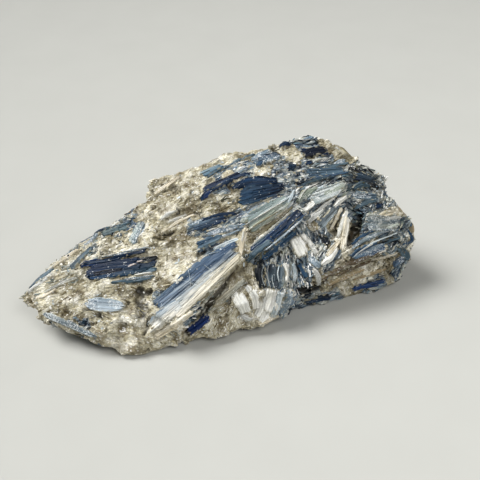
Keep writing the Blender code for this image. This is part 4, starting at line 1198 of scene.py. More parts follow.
# %% Where they lie
# Each: its palette, its places in the picture from end to end, its width at its start, its middle and
# its end, and how far it stands proud of the skin, in millimetres.
LATHS = (
    # The layered mica of the low end.
    ("silver", ((27, 293), (40, 283), (55, 272)), (0.6, 1.5, 0.8), 0.3),
    ("grey", ((44, 294), (62, 283), (80, 277)), (0.7, 1.3, 0.6), 0.3),
    ("cream", ((52, 268), (66, 258), (80, 248)), (0.6, 1.4, 0.7), 0.3),
    ("silver", ((36, 284), (46, 273), (58, 262)), (0.4, 0.9, 0.5), 0.3),
    ("grey", ((60, 272), (74, 262), (84, 256)), (0.6, 1.2, 0.5), 0.3),
    ("cream", ((30, 300), (44, 296), (58, 288)), (0.5, 1.1, 0.5), 0.3),
    ("haze", ((84, 247), (92, 240), (99, 232)), (0.8, 1.3, 0.6), 0.25),
    ("steel", ((66, 319), (82, 329), (99, 338)), (0.5, 0.9, 0.5), 0.3),
    # The bands of the dark blade above it.
    ("navy", ((81, 265), (110, 260), (148, 250)), (0.8, 1.4, 1.0), 0.75),
    ("steel", ((100, 258), (125, 253), (150, 247)), (0.4, 0.8, 0.4), 0.6),
    ("ink", ((92, 276), (108, 273), (126, 270)), (1.0, 1.8, 0.8), 0.75),
    ("steel", ((122, 281), (140, 278), (156, 276)), (0.6, 0.9, 0.5), 0.7),
    ("white", ((133, 276), (146, 274), (155, 273)), (0.3, 0.5, 0.3), 0.75),
    ("rosy", ((126, 269), (132, 266), (138, 264)), (0.3, 0.7, 0.3), 0.7),
    ("rosy", ((135, 263), (140, 262), (146, 260)), (0.2, 0.6, 0.2), 0.72),
    ("royal", ((79, 267), (88, 264), (104, 261)), (1.0, 2.4, 1.4), 0.6),
    ("black", ((136, 263), (148, 260), (159, 257)), (1.0, 2.0, 1.2), 0.65),
    ("slate", ((140, 273), (150, 271), (159, 269)), (0.8, 1.6, 1.0), 0.5),
    ("slate", ((110, 283), (132, 281), (154, 278)), (0.6, 1.4, 0.8), 0.5),
    # The upper edge on the left, and the cream rock beside it.
    ("haze", ((134, 240), (142, 232), (147, 224)), (0.8, 1.4, 0.6), 0.3),
    ("white", ((137, 239), (146, 231)), (0.3, 0.4, 0.3), 0.5),
    ("slate", ((104, 232), (118, 227), (132, 222)), (0.6, 1.4, 0.6), 0.35),
    ("cream", ((152, 196), (166, 186), (182, 176)), (0.8, 1.5, 0.8), 0.3),
    ("silver", ((156, 222), (166, 215), (178, 210)), (0.6, 1.4, 0.6), 0.25),
    ("white", ((166, 224), (176, 219), (188, 214)), (0.4, 0.9, 0.4), 0.25),
    ("cream", ((160, 234), (178, 222), (196, 214)), (0.6, 1.2, 0.5), 0.3),
    ("slate", ((206, 179), (216, 172), (228, 167)), (0.5, 1.2, 0.5), 0.35),
    ("pale", ((214, 186), (232, 176), (250, 168)), (0.5, 0.9, 0.5), 0.3),
    ("slate", ((226, 168), (240, 160), (256, 154)), (0.5, 1.2, 0.6), 0.35),
    # Round the dark crown crystal.
    ("navy", ((200, 202), (207, 193), (225, 182), (239, 177), (254, 173)), (1.2, 2.3, 1.0), 0.45),
    ("royal", ((200, 200), (206, 196), (212, 190)), (0.8, 1.4, 0.8), 0.5),
    ("navy", ((231, 190), (248, 182), (280, 181)), (1.8, 3.6, 1.8), 0.6),
    # Under it, and the cross fibres in the middle.
    ("navy", ((200, 222), (218, 216), (238, 213)), (0.8, 1.7, 0.8), 0.6),
    ("pale", ((187, 227), (200, 222), (212, 218)), (0.8, 1.5, 1.0), 0.45),
    ("haze", ((205, 236), (222, 230), (240, 226)), (1.2, 2.2, 1.0), 0.3),
    ("pale", ((200, 246), (220, 238), (242, 229)), (0.5, 0.9, 0.5), 0.4),
    ("ice", ((212, 250), (228, 243), (240, 238)), (0.6, 1.2, 0.8), 0.4),
    ("cream", ((247, 226), (243, 240), (240, 257)), (1.2, 2.0, 0.8), 0.6),
    ("white", ((244, 230), (241, 244)), (0.4, 0.7, 0.4), 0.8),
    # The long blade's blue upper edge and its frayed low end.
    ("band", ((154, 306), (176, 288), (200, 268), (219, 254), (238, 243)), (2.4, 3.9, 2.4), 0.5),
    ("frayed", ((150, 328), (163, 317), (182, 302)), (3.0, 4.4, 3.6), 0.6),
    ("cream", ((154, 338), (172, 327), (194, 311)), (1.6, 2.4, 1.8), 0.5),
    ("white", ((148, 334), (160, 324), (172, 314)), (0.3, 0.6, 0.3), 0.9),
    ("ice", ((188, 268), (190, 279), (191, 288)), (0.1, 0.2, 0.1), 0.7),
    ("ice", ((178, 280), (187, 282), (196, 286)), (0.1, 0.18, 0.1), 0.7),
    ("ice", ((202, 264), (210, 270), (216, 274)), (0.1, 0.18, 0.1), 0.7),
    ("ice", ((206, 256), (212, 254), (222, 252)), (0.1, 0.18, 0.1), 0.7),
    # The fan, and the deep blue blade below it.
    ("sage", ((239, 222), (262, 214), (284, 204)), (1.0, 1.8, 1.0), 0.5),
    ("ice", ((240, 219), (265, 211), (288, 198), (294, 190)), (0.4, 0.8, 0.5), 0.6),
    ("sage", ((252, 230), (272, 218), (292, 200)), (0.8, 1.6, 0.8), 0.5),
    ("olive", ((250, 240), (268, 228), (294, 206)), (0.8, 1.4, 0.6), 0.45),
    ("ice", ((286, 206), (292, 196), (295, 188)), (0.5, 1.0, 0.4), 0.6),
    ("olive", ((243, 234), (262, 221), (284, 209)), (0.3, 0.7, 0.3), 1.0),
    ("white", ((243, 227), (262, 215), (286, 200)), (0.2, 0.4, 0.2), 1.0),
    ("slate", ((245, 262), (258, 250), (272, 240)), (1.5, 2.2, 1.5), 0.8),
    ("navy", ((270, 240), (287, 225), (301, 211)), (1.6, 2.4, 2.0), 0.8),
    ("blue", ((256, 263), (274, 249), (297, 230)), (1.4, 2.6, 1.6), 0.5),
    ("pale", ((262, 252), (282, 236), (304, 217)), (0.4, 0.7, 0.4), 0.9),
    ("grey", ((250, 248), (270, 232), (292, 212)), (0.5, 0.8, 0.5), 0.8),
    # The silvery laths and plates right of the middle.
    ("white", ((302, 212), (311, 205), (321, 196)), (1.4, 1.9, 1.2), 0.5),
    ("sage", ((322, 197), (333, 190), (346, 184)), (1.6, 2.6, 1.6), 0.5),
    ("moss", ((297, 205), (304, 195), (318, 186)), (1.0, 2.2, 1.0), 0.45),
    ("white", ((297, 203), (305, 190), (319, 183)), (0.3, 0.4, 0.3), 0.6),
    ("silver", ((316, 212), (326, 204), (336, 197)), (0.6, 1.2, 0.6), 0.45),
    ("white", ((293, 236), (299, 246), (304, 258)), (3.2, 3.6, 3.0), 0.9),
    ("white", ((300, 233), (306, 240), (313, 248)), (1.0, 1.4, 1.0), 0.7),
    ("silver", ((304, 234), (310, 244), (318, 256)), (1.2, 2.0, 1.2), 0.45),
    ("pale", ((307, 252), (314, 262), (322, 268)), (1.2, 2.2, 1.2), 0.45),
    ("blue", ((298, 262), (304, 272), (306, 280)), (1.4, 2.2, 1.2), 0.4),
    ("white", ((337, 240), (341, 226), (347, 209)), (1.0, 1.7, 1.0), 0.5),
    ("cream", ((325, 258), (333, 248), (341, 239)), (1.0, 1.8, 1.0), 0.5),
    ("cream", ((329, 232), (335, 220), (342, 207)), (0.8, 1.4, 0.8), 0.4),
    ("white", ((328, 254), (332, 250)), (1.0, 1.5, 1.0), 0.6),
    ("black", ((318, 236), (325, 240), (330, 247)), (1.2, 2.4, 1.2), 0.3),
    ("white", ((320, 266), (330, 258), (338, 247)), (1.0, 2.0, 1.0), 0.5),
    ("silver", ((306, 224), (315, 215), (325, 208)), (1.0, 2.0, 1.0), 0.45),
    ("white", ((333, 208), (340, 201), (348, 195)), (0.8, 1.6, 0.8), 0.5),
    ("silver", ((312, 268), (318, 276), (318, 284)), (1.0, 2.0, 1.0), 0.45),
    # The dark block and the plates round it.
    ("black", ((262, 256), (259, 272), (264, 290)), (1.2, 2.6, 1.6), 0.7),
    ("ice", ((263, 266), (262, 277), (266, 289)), (0.15, 0.3, 0.15), 0.95),
    ("silver", ((269, 264), (267, 275), (271, 290)), (0.2, 0.4, 0.2), 0.9),
    ("ice", ((272, 273), (272, 281), (275, 290)), (0.2, 0.3, 0.2), 0.95),
    ("silver", ((276, 255), (275, 262), (276, 270)), (0.2, 0.5, 0.2), 0.9),
    ("ice", ((279, 264), (277, 274), (279, 284)), (0.2, 0.4, 0.2), 0.95),
    ("white", ((284, 262), (287, 272), (286, 284)), (1.0, 1.8, 1.0), 0.6),
    ("ice", ((292, 262), (295, 272), (293, 284)), (0.9, 1.6, 0.9), 0.5),
    ("white", ((236, 293), (242, 303), (247, 314)), (3.2, 3.6, 3.0), 0.55),
    ("white", ((231, 288), (235, 295), (237, 303)), (1.2, 2.2, 1.0), 0.35),
    ("silver", ((244, 284), (249, 289), (251, 295)), (1.0, 1.8, 1.0), 0.35),
    ("silver", ((240, 314), (247, 318), (254, 319)), (0.8, 1.8, 0.8), 0.45),
    ("white", ((250, 289), (255, 299), (256, 311)), (2.4, 2.8, 2.4), 0.45),
    ("olive", ((247, 296), (250, 304), (251, 312)), (0.5, 0.9, 0.5), 0.4),
    ("white", ((263, 299), (260, 309), (255, 318)), (2.0, 2.4, 2.0), 0.6),
    ("white", ((273, 287), (270, 299), (266, 312)), (3.0, 3.4, 3.0), 0.75),
    ("white", ((269, 309), (264, 316), (259, 323)), (2.0, 2.4, 2.0), 0.5),
    ("ice", ((281, 290), (278, 303), (271, 319)), (1.6, 2.4, 1.8), 0.55),
    ("pale", ((290, 289), (287, 302), (280, 315)), (1.8, 2.8, 1.8), 0.6),
    ("cream", ((256, 324), (268, 319), (277, 312)), (1.0, 2.0, 1.0), 0.4),
    # The bundle on the right, its cream top and its dark outline.
    ("slate", ((352, 210), (364, 203), (378, 199)), (0.9, 1.8, 0.9), 0.45),
    ("navy", ((374, 208), (379, 205), (384, 206)), (1.2, 1.8, 1.0), 0.5),
    ("sage", ((362, 240), (380, 231), (400, 223)), (0.6, 1.3, 0.6), 0.5),
    ("slate", ((376, 246), (392, 240), (406, 236)), (0.5, 1.0, 0.5), 0.45),
    ("cream", ((372, 220), (388, 213), (404, 212)), (1.0, 2.0, 1.0), 0.4),
    ("blue", ((348, 257), (362, 249), (378, 242)), (0.9, 2.0, 0.9), 0.6),
    ("white", ((352, 256), (364, 248), (374, 243)), (0.3, 0.6, 0.3), 0.8),
    ("steel", ((346, 252), (366, 239), (392, 228)), (0.8, 1.6, 0.8), 0.55),
    ("ice", ((350, 258), (370, 244), (398, 232)), (0.3, 0.6, 0.3), 0.7),
    ("blue", ((350, 246), (362, 236), (380, 227)), (0.6, 1.2, 0.6), 0.5),
    ("silver", ((374, 226), (388, 219), (402, 217)), (0.6, 1.3, 0.6), 0.5),
    ("black", ((358, 256), (372, 246), (390, 241), (402, 242)), (0.4, 0.8, 0.4), 0.35),
    # The brown bands under it, and the right end.
    ("brown", ((320, 280), (340, 268), (362, 258), (380, 252)), (0.8, 1.8, 0.8), 0.4),
    ("tan", ((326, 286), (346, 276), (366, 268)), (0.8, 1.6, 0.6), 0.4),
    ("brown", ((334, 276), (352, 268), (372, 260)), (0.8, 1.4, 0.6), 0.4),
    ("cream", ((370, 260), (385, 256), (398, 252)), (0.6, 1.2, 0.6), 0.4),
    ("tan", ((352, 280), (370, 274), (388, 268)), (0.6, 1.4, 0.6), 0.4),
    ("slate", ((402, 246), (407, 255), (410, 266)), (1.0, 2.0, 1.0), 0.4),
    ("steel", ((396, 281), (403, 273), (408, 263)), (0.8, 1.6, 0.8), 0.4),
    ("blue", ((405, 228), (411, 236), (414, 244)), (0.8, 1.4, 0.8), 0.4),
    ("royal", ((352, 288), (366, 286), (380, 284)), (0.6, 1.4, 0.6), 0.6),
    ("navy", ((305, 302), (318, 299), (332, 297)), (0.8, 1.6, 0.8), 0.5),
    # The top, and the dark rock on its right.
    ("slate", ((313, 172), (330, 167), (350, 163)), (0.8, 1.6, 0.8), 0.45),
    ("blue", ((308, 180), (328, 176), (350, 172)), (0.6, 1.3, 0.6), 0.45),
    ("slate", ((300, 186), (318, 179), (336, 177)), (0.6, 1.2, 0.6), 0.45),
    ("pale", ((333, 166), (340, 162), (347, 160)), (1.0, 1.8, 1.0), 0.45),
    ("olive", ((330, 146), (340, 148), (352, 158)), (0.8, 1.6, 0.8), 0.35),
    ("ink", ((302, 157), (314, 152), (328, 151)), (1.8, 3.2, 1.6), 0.7),
    ("navy", ((304, 164), (310, 163), (314, 161)), (0.8, 1.6, 0.8), 0.5),
    ("black", ((352, 176), (366, 180), (380, 190)), (1.0, 2.2, 1.0), 0.4),
    ("slate", ((352, 190), (362, 184), (372, 186)), (1.0, 2.0, 1.0), 0.4),
    ("black", ((346, 168), (356, 170), (368, 176)), (0.8, 1.6, 0.8), 0.4),
    ("pale", ((250, 162), (260, 156), (272, 150)), (1.2, 2.2, 1.2), 0.5),
    ("blue", ((256, 168), (264, 160), (272, 158)), (1.0, 1.6, 0.8), 0.5),
    ("navy", ((278, 148), (284, 145), (291, 143)), (0.8, 1.5, 0.8), 0.5),
)
# On the sides that the camera doesn't see: how many laths there are, how wide their ends and their
# middles are, how proud they stand and how far above the table they start, in mm.
HIDDEN_LATHS = 110
HIDDEN_ENDS, HIDDEN_MIDDLES, HIDDEN_RISES, HIDDEN_ABOVE = (0.4, 1.0), (1.0, 2.8), (0.3, 0.6), 2.0
HIDDEN_PALETTES = ("navy", "blue", "slate", "steel", "pale", "sage", "silver", "cream", "tan", "grey",
                   "white")
print(len(LATHS), "laths have a place of their own")

# %% Lay a line on the skin
# How far apart the rows and the columns of a lath are, and into how many steps the curve between two
# places in the picture is cut.
ROW_STEP, COLUMN_STEP = 0.25 * MM, 0.12 * MM
CURVE_STEPS = 8
# Out of the camera's sight: how far a line turns from the grain, how many strides it has and how long
# they are in mm, how far each goes on in the direction of the last, and how much coarser its grid is.
HIDDEN_SWING, STRIDES, STRIDE, GOES_ON, COARSER = 0.35, (8, 26), 0.4, 0.6, 1.6


def smoothed(points):
    """A line with its corners rounded a little. Its ends stay."""
    neighbours = zip(points, points[1:], points[2:])
    middles = [(before + here * 2 + after) / 4 for before, here, after in neighbours]
    return [points[0]] + middles + [points[-1]]


def evenly(points, step):
    """A line's points again, at even steps along it."""
    lengths = np.cumsum([0.0] + [(there - here).length for here, there in zip(points, points[1:])])
    wanted = np.linspace(0.0, lengths[-1], max(4, math.ceil(lengths[-1] / step)) + 1)
    columns = [np.interp(wanted, lengths, column) for column in np.array(points).T]
    return [Vector(place) for place in zip(*columns)]


def seen_line(seats):
    """A smooth line on the skin through places in the picture."""
    places = [np.array(seat, float) for seat in seats]
    places = [2 * places[0] - places[1]] + places + [2 * places[-1] - places[-2]]
    line = []
    for before, start, end, after in zip(places, places[1:], places[2:], places[3:]):
        for share in np.linspace(0, 1, CURVE_STEPS, endpoint=False):
            bend = 2 * before - 5 * start + 4 * end - after
            sway = 3 * start - 3 * end + after - before
            line.append((2 * start + (end - before) * share + bend * share ** 2 + sway * share ** 3) / 2)
    line.append(places[-2])
    points = [on_stone(*place) for place in line]
    return evenly(smoothed(smoothed(smoothed(points))), ROW_STEP)


def hidden_line(start, chance):
    """A line on the skin from a place, along the grain."""
    points = [start]
    along = Matrix.Rotation(chance.uniform(-HIDDEN_SWING, HIDDEN_SWING), 3, BACKWARD) @ STONE_GRAIN
    for _ in range(chance.randint(*STRIDES)):
        points.append(skin_tree.find_nearest(points[-1] + along * STRIDE * MM)[0])
        stride = points[-1] - points[-2]
        if stride.length > STRIDE / 4 * MM:
            along = stride.normalized() * GOES_ON + along * (1 - GOES_ON)
    return evenly(smoothed(smoothed(points)), ROW_STEP * COARSER)


print("the first lath has", len(seen_line(LATHS[0][1])), "rows")


# %% Make a lath along a line
# How deep a lath's rim lies under the skin, and how far its sides go down from there.
BURIED, BELOW = 0.55 * MM, 0.9 * MM
# How far from its end, in mm, a lath dives, and how late its ends and its sides do, as a power.
END_DIVE, END_POWER, SIDE_POWER = 0.7, 3, 8
# By what share its width swells and shrinks, and how often to a mm.
BULGE, BULGES = 0.3, 0.6
# The seed of the first lath, the step to the next, and what the seeds are divided by for the material.
LATH_SEED, SEED_STEP, MOST_SEED = 3, 2.13, 300


def lath_rings(line, widths, rise, seed, fineness):
    """The rings of a lath, and how far along and across it each of their points is, in mm."""
    outs = smoothed(smoothed([way_out(point) for point in line]))
    width = max(widths)
    columns = max(4, math.ceil(width * MM / COLUMN_STEP / fineness))
    length = sum((there - here).length for here, there in zip(line, line[1:])) / MM
    rings, lie = [], []
    for row, (point, out) in enumerate(zip(line, outs)):
        share = row / (len(line) - 1)
        x = share * length
        ahead = line[min(row + 1, len(line) - 1)] - line[max(row - 1, 0)]
        aside = out.cross(ahead).normalized()
        swelling = 1 + BULGE * noise.noise(Vector((x * BULGES, 0, seed)))
        bulge = np.interp(share, (0, 0.5, 1), widths) * swelling
        ring, places = [], []
        for column in range(columns + 1):
            across = 2 * column / columns - 1
            y = across * width / 2
            base = skin_tree.find_nearest(point + aside * across * bulge / 2 * MM)[0]
            broken = [END_DIVE * break_at(y, end, seed) for end in ENDS]
            from_end = min(x - broken[0], length - x - broken[1])
            dive = max(0.0, 1 - max(from_end, 0.0) / END_DIVE) ** END_POWER + abs(across) ** SIDE_POWER
            height = rise * MM + detail_at(x, y, seed) - min(dive, 1.0) * (BURIED + rise * MM)
            ring.append(base + out * height)
            places.append((x, y + width / 2, 0.0))
        rings.append([ring[0] - out * BELOW] + ring + [ring[-1] - out * BELOW])
        lie.append([places[0]] + places + [places[-1]])
    return rings, [place for row in lie for place in row], length, width


def fibre_mesh(name, points, faces, lies, seeds, colours, material):
    """A mesh with all that the surface of kyanite and mica reads."""
    mesh = bpy.data.meshes.new(name)
    mesh.from_pydata(points, [], faces)
    set_attribute(mesh, "lie", "FLOAT_VECTOR", "POINT", lies)
    set_attribute(mesh, "seed", "FLOAT", "POINT", seeds)
    set_attribute(mesh, "tint", "FLOAT_COLOR", "POINT", colours)
    mesh.materials.append(material)
    return mesh


def make_laths(name, material, recipes):
    """Joins many laths in one piece."""
    points, faces, lies, colours, seeds = [], [], [], [], []
    for number, (palette, line, widths, rise, fineness) in enumerate(recipes):
        seed = LATH_SEED + number * SEED_STEP
        rings, lie, length, width = lath_rings(line, widths, rise, seed, fineness)
        new_points, new_faces = slab(rings)
        faces += [[len(points) + vertex for vertex in face] for face in new_faces]
        points += [(point.x, point.y, max(point.z, 0.0)) for point in new_points]
        lies += lie
        colours.append(tints(PALETTES[palette], lie, length, width, seed))
        seeds += [seed / MOST_SEED] * len(lie)
    mesh = fibre_mesh(name, points, faces, lies, seeds, np.concatenate(colours), material)
    piece = new_object(name, mesh)
    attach(piece, "root")
    print(name, "has", len(recipes), "laths and", len(mesh.polygons), "faces")


def hidden_recipes():
    """Recipes for laths at random seats on the sides that the camera doesn't see."""
    chance = random.Random(19)
    hidden = [face for face in skin.polygons
              if face.normal.dot(BACKWARD) < SEEN and face.center.z > HIDDEN_ABOVE * MM]
    recipes = []
    for face in chance.sample(hidden, HIDDEN_LATHS):
        widths = [chance.uniform(*limits) for limits in (HIDDEN_ENDS, HIDDEN_MIDDLES, HIDDEN_ENDS)]
        line = hidden_line(face.center.copy(), chance)
        palette = chance.choice(HIDDEN_PALETTES)
        recipes.append((palette, line, widths, chance.uniform(*HIDDEN_RISES), COARSER))
    return recipes


all_laths = [(palette, seen_line(seats), widths, rise, 1) for palette, seats, widths, rise in LATHS]
all_laths += hidden_recipes()
other = OF_BRUISED_GLINTING + OF_MICA
make_laths("kyanite_laths", kyanite, [lath for lath in all_laths if lath[0] not in other])
make_laths("bruised_laths", bruised_glinting, [lath for lath in all_laths if lath[0] in OF_BRUISED_GLINTING])
make_laths("mica_plates", mica, [lath for lath in all_laths if lath[0] in OF_MICA])

# %% [markdown]
# ## The blades
# Each large blade is a slab too. The heights of its grid start from the solid blade, found by looking
# down on it from above, and every fibre of the grid ends at its own place, so the broken ends are
# ragged.

# %% The shape of one blade
ALONG_STEP, ACROSS_STEP = 0.22 * MM, 0.09 * MM
# How much of the solid blade's own steps is kept, as a share, half the width of a furrow that is
# filled, and how far in from its ends and its sides its height is still read.
KEPT_STEPS, FURROW, INSETS = 0.45, 1.5 * ACROSS_STEP, (0.02, 0.03)
# The ragged outline, in mm: how far back a fibre may break, how far the sides wander and how often to a
# mm, and how far back the corners break as a share of the width.
RAGGED_END, WANDERING_SIDE, SIDE_WAVES = 1.3, 0.35, 0.45
CORNER, ROUND_ENDED = 0.3, {"pale_end": 0.8, "left_dark_blade": 0.7, "crown_blade": 0.6, "rim_blade": 1.5}
EDGE_WIDTH, EDGE_DROP = 0.5 * MM, 0.45 * MM


def top_of(bar, u, v, width):
    """How high the solid blade stands at a place, with the furrows between its laths filled."""
    heights = []
    lookout = bar.top * 2 + MM
    for shift in (-FURROW, 0.0, FURROW):
        inside_u = min(max(u, INSETS[0]), 1 - INSETS[0])
        inside_v = min(max(v + shift / width, INSETS[1]), 1 - INSETS[1])
        hit = bar.solid.ray_cast(on_bar(bar, inside_u, inside_v, lookout), -bar.out)
        heights.append(lookout - hit[3] if hit[3] else bar.top)
    return bar.top + (max(heights) - bar.top) * KEPT_STEPS


def blade_rings(bar, seed, rounding):
    """The rings of a blade, and how far along and across it each of their points is, in mm."""
    length = ((bar.corners[2] + bar.corners[3] - bar.corners[0] - bar.corners[1]) / 2).length
    width = (bar.corners[1] - bar.corners[0]).length
    rows, columns = math.ceil(length / ALONG_STEP), math.ceil(width / ACROSS_STEP)
    rings, lie = [], []
    for row in range(rows + 1):
        x = length / MM * row / rows
        wander = [abs(noise.noise(Vector((x * SIDE_WAVES, side, seed)))) for side in ENDS]
        sides = [share * WANDERING_SIDE * MM / width for share in wander]
        ring, places = [], []
        for column in range(columns + 1):
            v = sides[0] + (1 - sides[0] - sides[1]) * column / columns
            y = v * width / MM
            corner = rounding * abs(2 * column / columns - 1) ** 3 * width / MM
            trims = [(break_at(y, end, seed) * RAGGED_END + corner) * MM / length for end in ENDS]
            u = trims[0] + (1 - trims[0] - trims[1]) * row / rows
            rim = min(min(column, columns - column) * width / columns, min(row, rows - row) * length / rows)
            height = top_of(bar, u, v, width) + detail_at(u * length / MM, y, seed)
            height -= EDGE_DROP * max(0.0, 1 - rim / EDGE_WIDTH) ** 2
            ring.append(on_bar(bar, u, v, height))
            places.append((u * length / MM, y, 0.0))
            if column in (0, columns):
                ring.append(on_bar(bar, u, v))
                places.append(places[-1])
        ring[0], ring[1] = ring[1], ring[0]
        rings.append(ring)
        lie += places
    return rings, lie, length / MM, width / MM


print("a blade's grid is", ALONG_STEP / MM, "by", ACROSS_STEP / MM, "mm")

# %% [markdown]
# ## The colours of the blades
# A blade is seldom one blue. Its heart is navy, its edges and its ends are pale where it is thin or
# bruised, and some blades change from one side to the other.

# %% Tint every blade
# For each blade: its colours from its low side to its high side, at its start and at its end.
DEEP, BLACK, TEAL, WHITE, CREAM = "#0C1E3A", "#0E1118", "#2C4051", "#ECEAE2", "#D6CBB2"
LOOKS = {
    "long_blade": (("#CFC9B8", "#E2DED2", "#B2B6B4", "#7E8C98", "#64768A"),
                   ("#C8C2AE", "#C6BFA8", "#848F96", "#2C435E", "#364C66")),
    "fan_blade": (("#5C6858", "#A2AA98", "#46585F", "#8A9894"),
                  ("#CBD1C8", "#74868A", "#BAC6C0", "#5E7274")),
    "deep_blue_blade": (("#3E5864", "#1E3E5E", "#183052", "#5E727A"),
                        ("#1A385C", "#10244A", "#1A345A", "#6C7C80")),
    "silver_blade": (("#A8B2B0", "#6A7C80", "#BEC4C0", "#5E7072"), ("#94A2A2", "#C0C6C2", "#6A7E80")),
    "crown_blade": (("#3E5A72", "#1C3A56", "#4A6276"), ("#071C34", "#061226", "#0E2842")),
    "dark_rim_blade": (("#1B3450", "#0E1C34", "#0A182C"), ("#284662", "#0E1C34", "#0B1016")),
    "slate_blade": (("#34485E", "#526474", "#6E7C84"), ("#1A3654", "#0C1C34", "#1E3A56")),
    "short_blade": (("#647A88", "#2A4862", "#1C3A58"), ("#7E9098", "#445C70", "#5E727E")),
    "left_dark_blade": (("#123458", "#0A2444", "#061830", "#0C2846"),
                        ("#3C5462", "#1A2E3C", "#0E243C", "#0A1E36")),
    "pale_end": (("#DCE4E8", "#6A8294", "#D2DCE2", "#54697A", "#C4D0D8", "#8096A6", "#E2E8EA"),
                 ("#8498A6", "#D6DEE2", "#6A8090", "#C0CCD2", "#506476", "#B2C0C8", "#94A6B0")),
    "navy_prism": (("#16346C", "#10285A", "#0C2046"), ("#142E62", "#0E2450", "#0A1A38")),
    "crack_lath": (("#968F7C", "#B5AD96"), ("#7E807A", "#A5A494")),
    "dark_block": ((BLACK, "#2C3E4C", "#10151A", "#506674", BLACK),
                   ("#182430", "#74858E", "#182430", "#9AA8AC")),
    "white_blade": ((WHITE, "#F4F3EE"), ("#C6CCD2", WHITE)),
    "white_lath": (("#F1EFE6", WHITE), (WHITE, "#D8D6CC")),
    "pale_lath": (("#8296AA", "#A9B6C0"), ("#647C96", "#94A4B2")),
    "ledge_blade": (("#485F7C", "#60788C", "#AEBAC0"), ("#32496A", "#4E6880", "#8A9CA6")),
    "right_bundle": (("#3E5464", "#6E7E86", "#4A5C66", "#9A9E94"),
                     ("#3A4C58", "#A6A696", "#4C5E68", "#B4B2A0")),
    "top_navy_blade": (("#142844", DEEP), (DEEP, "#1C3352")),
    "upper_slate_blade": (("#344A60", "#4E6474", TEAL), ("#5E7684", "#384E60")),
    "upper_dark_blade": ((DEEP, TEAL, "#34424C"), ("#18222C", "#2A363E")),
    "right_slate_blade": (("#5C727E", "#405664", "#7C8C90"), ("#34485A", "#4C6270")),
    "speckled_blade": (("#6C7A80", "#28323C"), ("#A2ACAE", "#344048")),
    "cream_rib": (("#D2C8AE", WHITE), (CREAM, "#EAE6D8")),
    "top_small_blade": (("#344452", NAVY), (TEAL, NAVY)),
    "right_end_blade": (("#3E566E", "#2A4058"), ("#62788A", "#384E64")),
    "base_blade": (("#1A3462", "#22406E"), ("#2C4C76", "#142A50")),
    "dark_base_blade": ((BLACK, TEAL), ("#22303E", BLACK)),
    "left_top_blade": (("#4A5A60", "#6E7A74"), ("#5A6C70", "#3E5058")),
    "left_teal_blade": (("#647680", "#8A958F"), ("#50626C", "#98A4A0")),
    "left_slate_blade": (("#7E888A", "#465866"), ("#5E7078", "#384A58")),
    "upper_blue_blade": (("#586C78", "#405466", "#324858"), ("#66767E", "#4E6070", "#3A4C5C")),
    "upper_teal_blade": (("#4E6A7C", "#94A4A8"), ("#365266", "#6A808A")),
    "rim_blade": (("#7E888A", "#4E5C64", "#8A9294"), ("#8E9494", "#5A6870", "#98A0A0")),
}
PLAIN_LOOK = (("#26405E", "#142A48", "#405C74"), ("#4E6880", "#1C3856", "#6A808C"))
PALE_LOOK = (("#94A6B0", "#788E9E", "#AEBAC0"), ("#8A9CA6", "#A4B0B4"))
SLATE_LOOK = (("#506270", "#384C5C", "#74848C"), ("#42545F", "#5E707A"))
LOOKS.update(back_pale_blade=PALE_LOOK, back_low_blade=SLATE_LOOK)
# Blades that are crushed to white specks all over. The specks are partly painted glints.
BRUISED_GLINTING = ("pale_end", "upper_blue_blade", "rim_blade", "ledge_blade", "left_teal_blade", "right_bundle",
           "right_end_blade", "right_slate_blade", "silver_blade")

SLOT_OF = {part["node"]: part["material_slot"] for part in frame["record"]["subparts"]}
# The first seed, the step to the next, and what the seeds are divided by for the material.
BLADE_SEED, BLADE_SEED_STEP, MOST_BLADE_SEED = 1, 1.37, 60
faces_of_blades = 0
for number, name in enumerate(BLADES):
    seed = BLADE_SEED + number * BLADE_SEED_STEP
    rings, lie, length, width = blade_rings(bars[name], seed, ROUND_ENDED.get(name, CORNER))
    points, faces = slab(rings)
    colours = tints(LOOKS.get(name, PLAIN_LOOK), lie, length, width, seed)
    whole = mica if SLOT_OF[name] == "white_mica" else kyanite
    mesh = fibre_mesh(name, points, faces, lie, [seed / MOST_BLADE_SEED] * len(points), colours,
                      bruised_glinting if name in BRUISED_GLINTING else whole)
    crystal = new_object("crystal_" + name, mesh)
    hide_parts(name)
    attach(crystal, "root")
    faces_of_blades += len(mesh.polygons)
print("made", len(BLADES), "blades of", faces_of_blades, "faces in all")

# %% [markdown]
# ## The table and the light
# The specimen lies on pale paper. A large window high up on the left lights it, and a pale wall in
# front on the right throws some of that light back, so no shadow is quite black.

# %% The table
TABLE_SIZE = 3.0
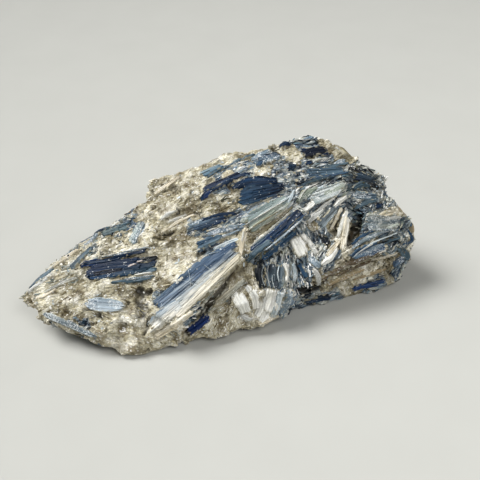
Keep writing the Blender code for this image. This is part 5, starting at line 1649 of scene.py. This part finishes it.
# How many mottles there are to a metre, and the tones between which they lie.
MOTTLES, PAPER_TONES = 60.0, ("#BBBBB5", "#C0C0BA")


def table_material():
    """Matte paper with the faintest mottling."""
    material, tree, shader = new_material("pale_paper")
    mottle = add(tree, NOISE, {
        "Vector": add(tree, "ShaderNodeTexCoord").outputs["Object"], "Scale": MOTTLES})
    low, high = (linear(code) for code in PAPER_TONES)
    tone = add(tree, MIX, {0: mottle, 6: low, 7: high}, data_type="RGBA")
    tree.links.new(tone.outputs[2], shader.inputs["Base Color"])
    shader.inputs["Roughness"].default_value = 0.9
    shader.inputs["Specular IOR Level"].default_value = 0.2
    return material


table_shape = bmesh.new()
bmesh.ops.create_grid(table_shape, x_segments=1, y_segments=1, size=TABLE_SIZE / 2)
table_mesh = bpy.data.meshes.new("table")
table_shape.to_mesh(table_mesh)
table_shape.free()
table_mesh.materials.append(table_material())
table = new_object("table", table_mesh)
print("the table is", TABLE_SIZE, "m wide")

# %% The light
# Each: its size and its place in metres, where it points, its spread in degrees, its power in watts.
LIGHTS = {
    "window": (0.7, Vector((-0.75, 0.25, 1.1)), Vector((0.16, -0.06, 0.0)), 50, 2.7),
    "wall": (0.4, Vector((0.3, -0.45, 0.7)), Vector((0.05, 0.0, 0.0)), 120, 1.45),
}
ROOM_COLOUR, ROOM_STRENGTH = "#EEF1F2", 0.16

for name, (size, place, aim, spread, power) in LIGHTS.items():
    light_data = bpy.data.lights.new(name, "AREA")
    light_data.shape = "SQUARE"
    light_data.size = size
    light_data.energy = power
    light_data.spread = math.radians(spread)
    light = bpy.data.objects.new(name, light_data)
    bpy.context.scene.collection.objects.link(light)
    light.location = place
    light.rotation_euler = (aim - place).to_track_quat("-Z", "Y").to_euler()

room = bpy.data.worlds.new("room")
room.use_nodes = True
bpy.context.scene.world = room
glow = room.node_tree.nodes["Background"].inputs
glow["Color"].default_value = linear(ROOM_COLOUR)
glow["Strength"].default_value = ROOM_STRENGTH
bpy.context.scene.view_settings.view_transform = "Standard"
print("lit by", " and ".join(LIGHTS))
